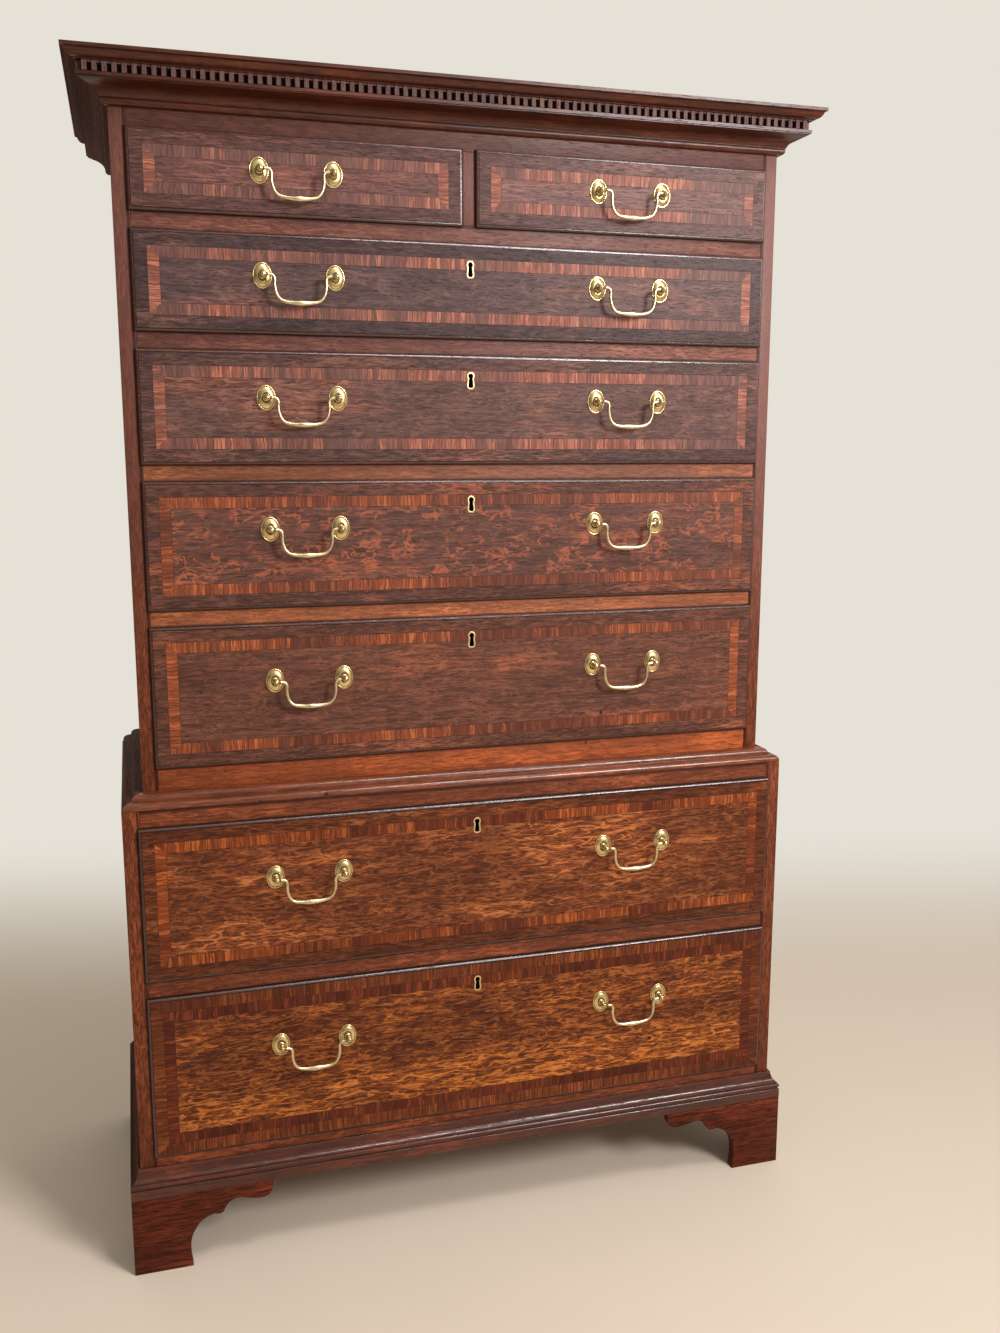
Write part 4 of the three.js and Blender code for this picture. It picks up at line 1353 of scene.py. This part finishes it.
# The finish of each rail, and how thick the dustboard behind it is, in millimetres. The two top rails take
# the mauve oak, with painted sheen.
RAILS = {
    "upper_rail_1": ("mauve_x", 12), "upper_rail_2": ("mauve_x", 12), "upper_rail_3": ("rail_x", 12),
    "upper_rail_4": ("glow_x", 12), "lower_rail": ("case_x", 12), "lower_top_board": ("case_x", 20),
    "upper_bottom_board": ("warm_x", 20), "lower_bottom_board": ("case_x", 20),
}
RAIL_DEPTH = 40 * MM
NAIL_IN = 26 * MM


def planks(name, low, high, shares, axis, gap, soft):
    """Boards side by side between two corners, as wide as the steps between the shares."""
    parts = []
    for first, last in zip(shares, shares[1:]):
        near, far = Vector(low), Vector(high)
        near[axis] = low[axis] + (high[axis] - low[axis]) * first + gap
        far[axis] = low[axis] + (high[axis] - low[axis]) * last - gap
        parts.append(board("plank", near, far, soft, 1))
    return joined(parts, name)


def dress_sides(arris):
    """The sides, whose front edges are the stiles, each glued up from two boards."""
    for node in SIDES:
        low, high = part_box(node)
        joint = low.y + 0.52 * (high.y - low.y)
        inner = "right" if high.x < 0 else "left"
        near = shadow_lined(board("near", low, (high.x, joint, high.z), arris), low, high, [inner])
        far = board("far", (low.x, joint, low.z), high, arris * 0.25)
        piece = joined([near, far], f"boards_{node}")
        for face in piece.data.polygons:
            if abs(face.normal.x) > 0.9:
                face.material_index = 1
            elif abs(face.normal.z) > 0.9:
                face.material_index = 2
        hand_over(piece, "case_z side_z dark_y", "case", "case_oak", node)


def dress_rails(arris):
    """Each rail with the boards behind it that carry the drawer above, and the pocket for the bolt below."""
    for node, (finish, thickness) in RAILS.items():
        low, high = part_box(node)
        rail = board(f"rail_{node}", low, (high.x, low.y + RAIL_DEPTH, high.z), arris * 0.6)
        edges = ["above"]
        if not node.endswith("bottom_board"):
            edges.append("below")
            cut(rail, board("pocket", (-11.8 * MM, low.y + 19.6 * MM, low.z - MM),
                            (11.8 * MM, low.y + 23.4 * MM, low.z + 8.4 * MM)))
        hand_over(shadow_lined(rail, low, high, edges), finish, "case", "case_oak", node)
        dust = planks(f"dustboard_{node}", (low.x, low.y + RAIL_DEPTH, high.z - thickness * MM), high,
                      (0, 0.27, 0.5, 0.76, 1), 0, 0, arris * 0.5)
        hand_over(dust, "inside_y", "case", "case_oak")


def shadow_lined(piece, low, high, sides):
    """A painted shadow line along some edges of the front of a board, where the lips of the drawers end."""
    near, far = 3.2 * MM, 6.2 * MM
    cuts = {"left": (0, low[0], 1), "right": (0, high[0], -1),
            "below": (2, low[2], 1), "above": (2, high[2], -1)}
    only(piece)
    edit()
    for side in sides:
        axis, edge, inwards = cuts[side]
        for distance in (near, far):
            place, normal = [0, 0, 0], [0, 0, 0]
            place[axis], normal[axis] = edge + inwards * distance, 1
            whole()
            bpy.ops.mesh.bisect(plane_co=place, plane_no=normal)
    done()
    amounts = []
    for vertex in piece.data.vertices:
        from_edge = min((vertex.co[cuts[side][0]] - cuts[side][1]) * cuts[side][2] for side in sides)
        amounts.append(1.0 if vertex.co.y < low[1] + MM / 10 and from_edge < near + MM / 10 else 0.0)
    return soil_and_shade(piece, amounts)


def dress_top(arris):
    """The frieze rail under the cornice, the top board, and the upright between the short drawers."""
    frieze = board("frieze", *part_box("upper_frieze_rail"), arris * 0.4)
    hand_over(frieze, "frieze_x", "case", "case_oak", "upper_frieze_rail")
    top = board("top_boards", *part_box("upper_top_board"), arris * 0.4)
    hand_over(top, "dark_x", "case", "dark_oak", "upper_top_board")
    low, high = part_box("short_drawer_divider")
    end = (high.x, low.y + RAIL_DEPTH, DrawerPlace("short_left").opening_top - 0.3 * MM)
    upright = shadow_lined(board("divider", low, end, arris * 0.6), low, end, ["left", "right"])
    hand_over(upright, "case_z", "case", "case_oak", "short_drawer_divider")
    partition = board("partition", (low.x, low.y + RAIL_DEPTH + 0.3 * MM, low.z), high, arris * 0.4)
    hand_over(partition, "inside_y", "case", "case_oak")


def dress_backs():
    """The back of each case: boards nailed side by side, with their nail heads."""
    for node, shares in (("upper_back_boards", (0, 0.19, 0.41, 0.6, 0.8, 1)),
                         ("lower_back_boards", (0, 0.36, 0.7, 1))):
        low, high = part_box(node)
        back = planks(f"planks_{node}", low, high, shares, 2, 0.3 * MM, 1.4 * MM)
        hand_over(back, "back_x", "case", "plain_oak", node)
        nail = turned_back("nail_head", [(3.6, 0), (3.2, 0.45), (1.6, 0.8), (0.2, 0.88)], 8)
        edges = [low.z + (high.z - low.z) * share_of for share_of in shares]
        heads = []
        for bottom, top in zip(edges, edges[1:]):
            for x in (low.x + 14 * MM, 0, high.x - 14 * MM):
                for z in (bottom + NAIL_IN, top - NAIL_IN):
                    heads.append(copied(nail, "nail", x, high.y - 0.9 * MM, z))
        remove(nail)
        hand_over(joined(heads, f"nails_{node}"), "iron", "case", "plain_oak")


# Drawer boxes

DOVETAIL_PITCH = 38 * MM

def dress_box(name, arris):
    """The thin sides, back and bottom behind a drawer front, with runners under the bottom."""
    place = DrawerPlace(name)
    low, high = place.box_low, place.box_high
    wall, floor, soft = 10 * MM, 3 * MM, arris * 0.7
    left, right, rear = low.x + wall, high.x - wall, high.y - wall
    parts = [
        board("side", low, (left, high.y, high.z), soft),
        board("side", (right, low.y, low.z), high, soft),
        board("runner", (left, low.y, low.z), (low.x + 2.2 * wall, rear, low.z + floor), soft * 0.5, 1),
        board("runner", (high.x - 2.2 * wall, low.y, low.z), (right, rear, low.z + floor), soft * 0.5, 1),
    ]
    hand_over(joined(parts, f"box_sides_{name}"), "inside_y", place.body, "plain_oak", f"drawer_box_{name}")
    edges = [low.y, low.y + 0.45 * (high.y - low.y), rear]
    parts = [board("bottom", (left, near, low.z + floor), (right, far, low.z + 8 * MM), soft * 0.4, 1)
             for near, far in zip(edges, edges[1:])]
    parts.append(board("back", (left, rear, low.z), (right, high.y, high.z - 4 * MM), soft))
    hand_over(joined(parts, f"box_bottom_{name}"), "inside_x", place.body, "plain_oak")
    count = max(2, round((high.z - low.z) / DOVETAIL_PITCH))
    step = (high.z - low.z) / count
    rows = []
    for x0, x1 in ((low.x - 0.06 * MM, low.x + MM), (high.x - MM, high.x + 0.06 * MM)):
        rows.append(row_of(dovetail(x0, x1, rear, high.y + 0.05 * MM, low.z + step / 2), count, (0, 0, step)))
    hand_over(joined(rows, f"dovetails_{name}"), "end_grain", place.body, "plain_oak")


def dovetail(x0, x1, near, far, middle):
    """The end of a dovetail pin that shows on the side of a drawer."""
    pin = board("pin", (x0, near, middle - 3 * MM), (x1, far, middle + 3 * MM))
    only(pin)
    edit()
    choose(lambda centre, vertex: centre.y < near + MM, "VERT")
    stretch((1, 1, 2.1), (x0, near, middle))
    done()
    return pin


# Floor, lights and camera

CAMERA_PLACE = (-0.4954, -2.01685)
CAMERA_TILT = 80.055
CAMERA_SWING = -16.575
LENS = 33.23
SURROUND_LEVEL = 0.96

def dress_stage(settings):
    clear()
    bpy.ops.mesh.primitive_circle_add(vertices=96, radius=14, fill_type="NGON", location=(0, 0, 0))
    floor = settle("floor")
    edit()
    whole()
    bpy.ops.mesh.inset(thickness=9)
    done()
    floor.data.materials.append(floor_finish(tuple(settings.floor), tuple(settings.surround)))

    bpy.context.scene.world = studio(tuple(settings.surround))
    soft_light("soft_light_right", (1.35, -2.5, 2.1), (0, -0.1, 0.9), 0.8, settings.light)
    soft_light("soft_light_above", (0.6, -1.4, 3.5), (0, -0.2, 1.0), 0.7, settings.light * 0.45)

    bpy.ops.object.camera_add(
        location=(*CAMERA_PLACE, settings.camera_height),
        rotation=(math.radians(CAMERA_TILT), 0, math.radians(CAMERA_SWING)))
    camera = bpy.context.object
    camera.data.lens, camera.data.sensor_width, camera.data.clip_start = LENS, 36, 0.01
    bpy.context.scene.camera = camera
    bpy.context.scene.view_settings.view_transform = "Standard"


def studio(tone):
    """A plain pale surround, and light from in front that falls off downwards and to the left."""
    light = Finish("studio", "worlds")
    towards = light.node("ShaderNodeTexCoord", out="Generated")
    side = light.axis(towards, "X") * 0.55 + light.axis(towards, "Z") * 0.85 - light.axis(towards, "Y") * 0.1
    level = 0.11 + light.between(side, -0.4, 1.0) * 0.92
    behind = (light.between(light.axis(towards, "Y"), -0.05, 0.3)
              * light.between(light.axis(towards, "X"), -0.45, -0.05))
    seen = light.node("ShaderNodeLightPath", out="Is Camera Ray")
    strength = (level + behind * (SURROUND_LEVEL - level)) * (1 - seen) + seen * SURROUND_LEVEL
    shader = light.node("ShaderNodeBackground", {}, {"Color": (*tone, 1), "Strength": strength})
    return light.ended(shader, "ShaderNodeOutputWorld")


def soft_light(name, place, target, size, power):
    """A square soft light that faces a point."""
    aim = (Vector(target) - Vector(place)).to_track_quat("-Z", "Y").to_euler()
    bpy.ops.object.light_add(type="AREA", location=place, rotation=aim)
    light = bpy.context.object
    light.name = name
    light.data.size = size
    light.data.energy = power


def floor_finish(tone, far_tone):
    """A pale floor, faintly mottled, with painted shade towards the right, that fades into the surround away
    from the chest.
    """
    finish = Finish("floor")
    place = finish.place()
    mottle = finish.noise(place, (5.0, 5.0, 5.0), 4.0, 0.6)
    grit = finish.noise(place, (160.0, 160.0, 160.0), 2.0)
    tint = finish.mix(mottle * 0.6 + grit * 0.25, times(tone, 0.9), tone)
    # Painted shade: the floor darker towards the right, against the pool of the soft light there.
    right = finish.between(finish.axis(place, "X"), -0.3, 1.3)
    near = finish.node("ShaderNodeBsdfPrincipled", {}, {
        "Base Color": finish.mix(right * 0.6, tint, times(tone, 0.72)), "Roughness": 0.62 + grit * 0.1,
        "Specular IOR Level": 0.2})
    far = finish.node("ShaderNodeEmission", {}, {"Color": (*far_tone, 1), "Strength": SURROUND_LEVEL})
    away = finish.axis(place, "Y") + finish.axis(place, "X") * 0.25
    outwards = finish.vector("LENGTH", {0: place}, "Value")
    fade = 1 - (1 - finish.between(away, 0.5, 1.9)) * (1 - finish.between(outwards, 8.0, 13.5))
    return finish.ended(finish.node("ShaderNodeMixShader", {}, {0: fade, 1: near, 2: far}))


# Operators, panel and start

class CHEST_OT_case(bpy.types.Operator):
    """Models the sides, rails, frieze, divider and top of both cases"""
    bl_idname = "chest.case"
    bl_label = "Case boards"

    def execute(self, context):
        arris = context.scene.chest_mouldings.arris
        dress_sides(arris)
        dress_rails(arris)
        dress_top(arris)
        return {"FINISHED"}


class CHEST_OT_backs(bpy.types.Operator):
    """Models the nailed back boards of both cases"""
    bl_idname = "chest.backs"
    bl_label = "Back boards"

    def execute(self, context):
        dress_backs()
        return {"FINISHED"}


class CHEST_OT_boxes(bpy.types.Operator):
    """Models the drawer boxes behind the fronts"""
    bl_idname = "chest.boxes"
    bl_label = "Drawer boxes"

    def execute(self, context):
        for name in DRAWERS:
            dress_box(name, context.scene.chest_mouldings.arris)
        return {"FINISHED"}


class CHEST_OT_fronts(bpy.types.Operator):
    """Models the eight drawer fronts with their lips, banding and keyholes"""
    bl_idname = "chest.fronts"
    bl_label = "Drawer fronts"

    def execute(self, context):
        for name in DRAWERS:
            dress_front(name, context.scene.chest_fronts, context.scene.chest_handles)
        return {"FINISHED"}


class CHEST_OT_locks(bpy.types.Operator):
    """Models the keyhole rims, lock cases, screws and bolts"""
    bl_idname = "chest.locks"
    bl_label = "Locks"

    def execute(self, context):
        for name in LOCKED_DRAWERS:
            dress_lock(name, context.scene.chest_fronts, context.scene.chest_handles)
        return {"FINISHED"}


class CHEST_OT_handles(bpy.types.Operator):
    """Models the roses, posts and nuts of the handles"""
    bl_idname = "chest.handles"
    bl_label = "Roses and posts"

    def execute(self, context):
        dress_handles(context.scene.chest_handles, context.scene.chest_fronts.board)
        return {"FINISHED"}


class CHEST_OT_bails(bpy.types.Operator):
    """Models the fourteen hanging bails"""
    bl_idname = "chest.bails"
    bl_label = "Bails"

    def execute(self, context):
        dress_bails(context.scene.chest_handles)
        return {"FINISHED"}


class CHEST_OT_cornice(bpy.types.Operator):
    """Models the cornice and its rows of dentils"""
    bl_idname = "chest.cornice"
    bl_label = "Cornice"

    def execute(self, context):
        dress_cornice(context.scene.chest_mouldings)
        return {"FINISHED"}


class CHEST_OT_mouldings(bpy.types.Operator):
    """Models the waist moulding between the cases and the base moulding"""
    bl_idname = "chest.mouldings"
    bl_label = "Waist and base mouldings"

    def execute(self, context):
        dress_mouldings()
        return {"FINISHED"}


class CHEST_OT_feet(bpy.types.Operator):
    """Models the bracket feet and their glue blocks"""
    bl_idname = "chest.feet"
    bl_label = "Bracket feet"

    def execute(self, context):
        dress_feet(context.scene.chest_mouldings)
        return {"FINISHED"}


class CHEST_OT_stage(bpy.types.Operator):
    """Sets the floor, the soft light and the camera"""
    bl_idname = "chest.stage"
    bl_label = "Stage"

    def execute(self, context):
        dress_stage(context.scene.chest_stage)
        return {"FINISHED"}


GROUPS = {
    "chest_fronts": ChestFrontSettings, "chest_handles": ChestHandleSettings,
    "chest_mouldings": ChestMouldingSettings, "chest_finishes": ChestFinishSettings,
    "chest_stage": ChestStageSettings,
}
STEPS = (
    CHEST_OT_case, CHEST_OT_backs, CHEST_OT_boxes, CHEST_OT_fronts, CHEST_OT_locks, CHEST_OT_handles,
    CHEST_OT_bails, CHEST_OT_cornice, CHEST_OT_mouldings, CHEST_OT_feet, CHEST_OT_stage,
)


class CHEST_PT_panel(bpy.types.Panel):
    """Lists the chest's settings and the steps that model it"""
    bl_label = "Chest on chest"
    bl_idname = "CHEST_PT_panel"
    bl_space_type = "VIEW_3D"
    bl_region_type = "UI"
    bl_category = "Chest"

    def draw(self, context):
        for name, group in GROUPS.items():
            box = self.layout.box()
            box.label(text=group.__doc__)
            for setting in group.__annotations__:
                box.prop(getattr(context.scene, name), setting)
        for step in STEPS:
            self.layout.operator(step.bl_idname)


def register():
    for group in GROUPS.values():
        bpy.utils.register_class(group)
    for name, group in GROUPS.items():
        setattr(bpy.types.Scene, name, bpy.props.PointerProperty(type=group))
    for step in (*STEPS, CHEST_PT_panel):
        bpy.utils.register_class(step)


def unregister():
    for step in reversed((*STEPS, CHEST_PT_panel)):
        bpy.utils.unregister_class(step)
    for name, group in reversed(GROUPS.items()):
        delattr(bpy.types.Scene, name)
        bpy.utils.unregister_class(group)


def main():
    register()
    bpy.ops.chest.case()
    bpy.ops.chest.backs()
    bpy.ops.chest.boxes()
    bpy.ops.chest.fronts()
    bpy.ops.chest.locks()
    bpy.ops.chest.handles()
    bpy.ops.chest.bails()
    bpy.ops.chest.cornice()
    bpy.ops.chest.mouldings()
    bpy.ops.chest.feet()
    bpy.ops.chest.stage()


if __name__ == "__main__":
    main()
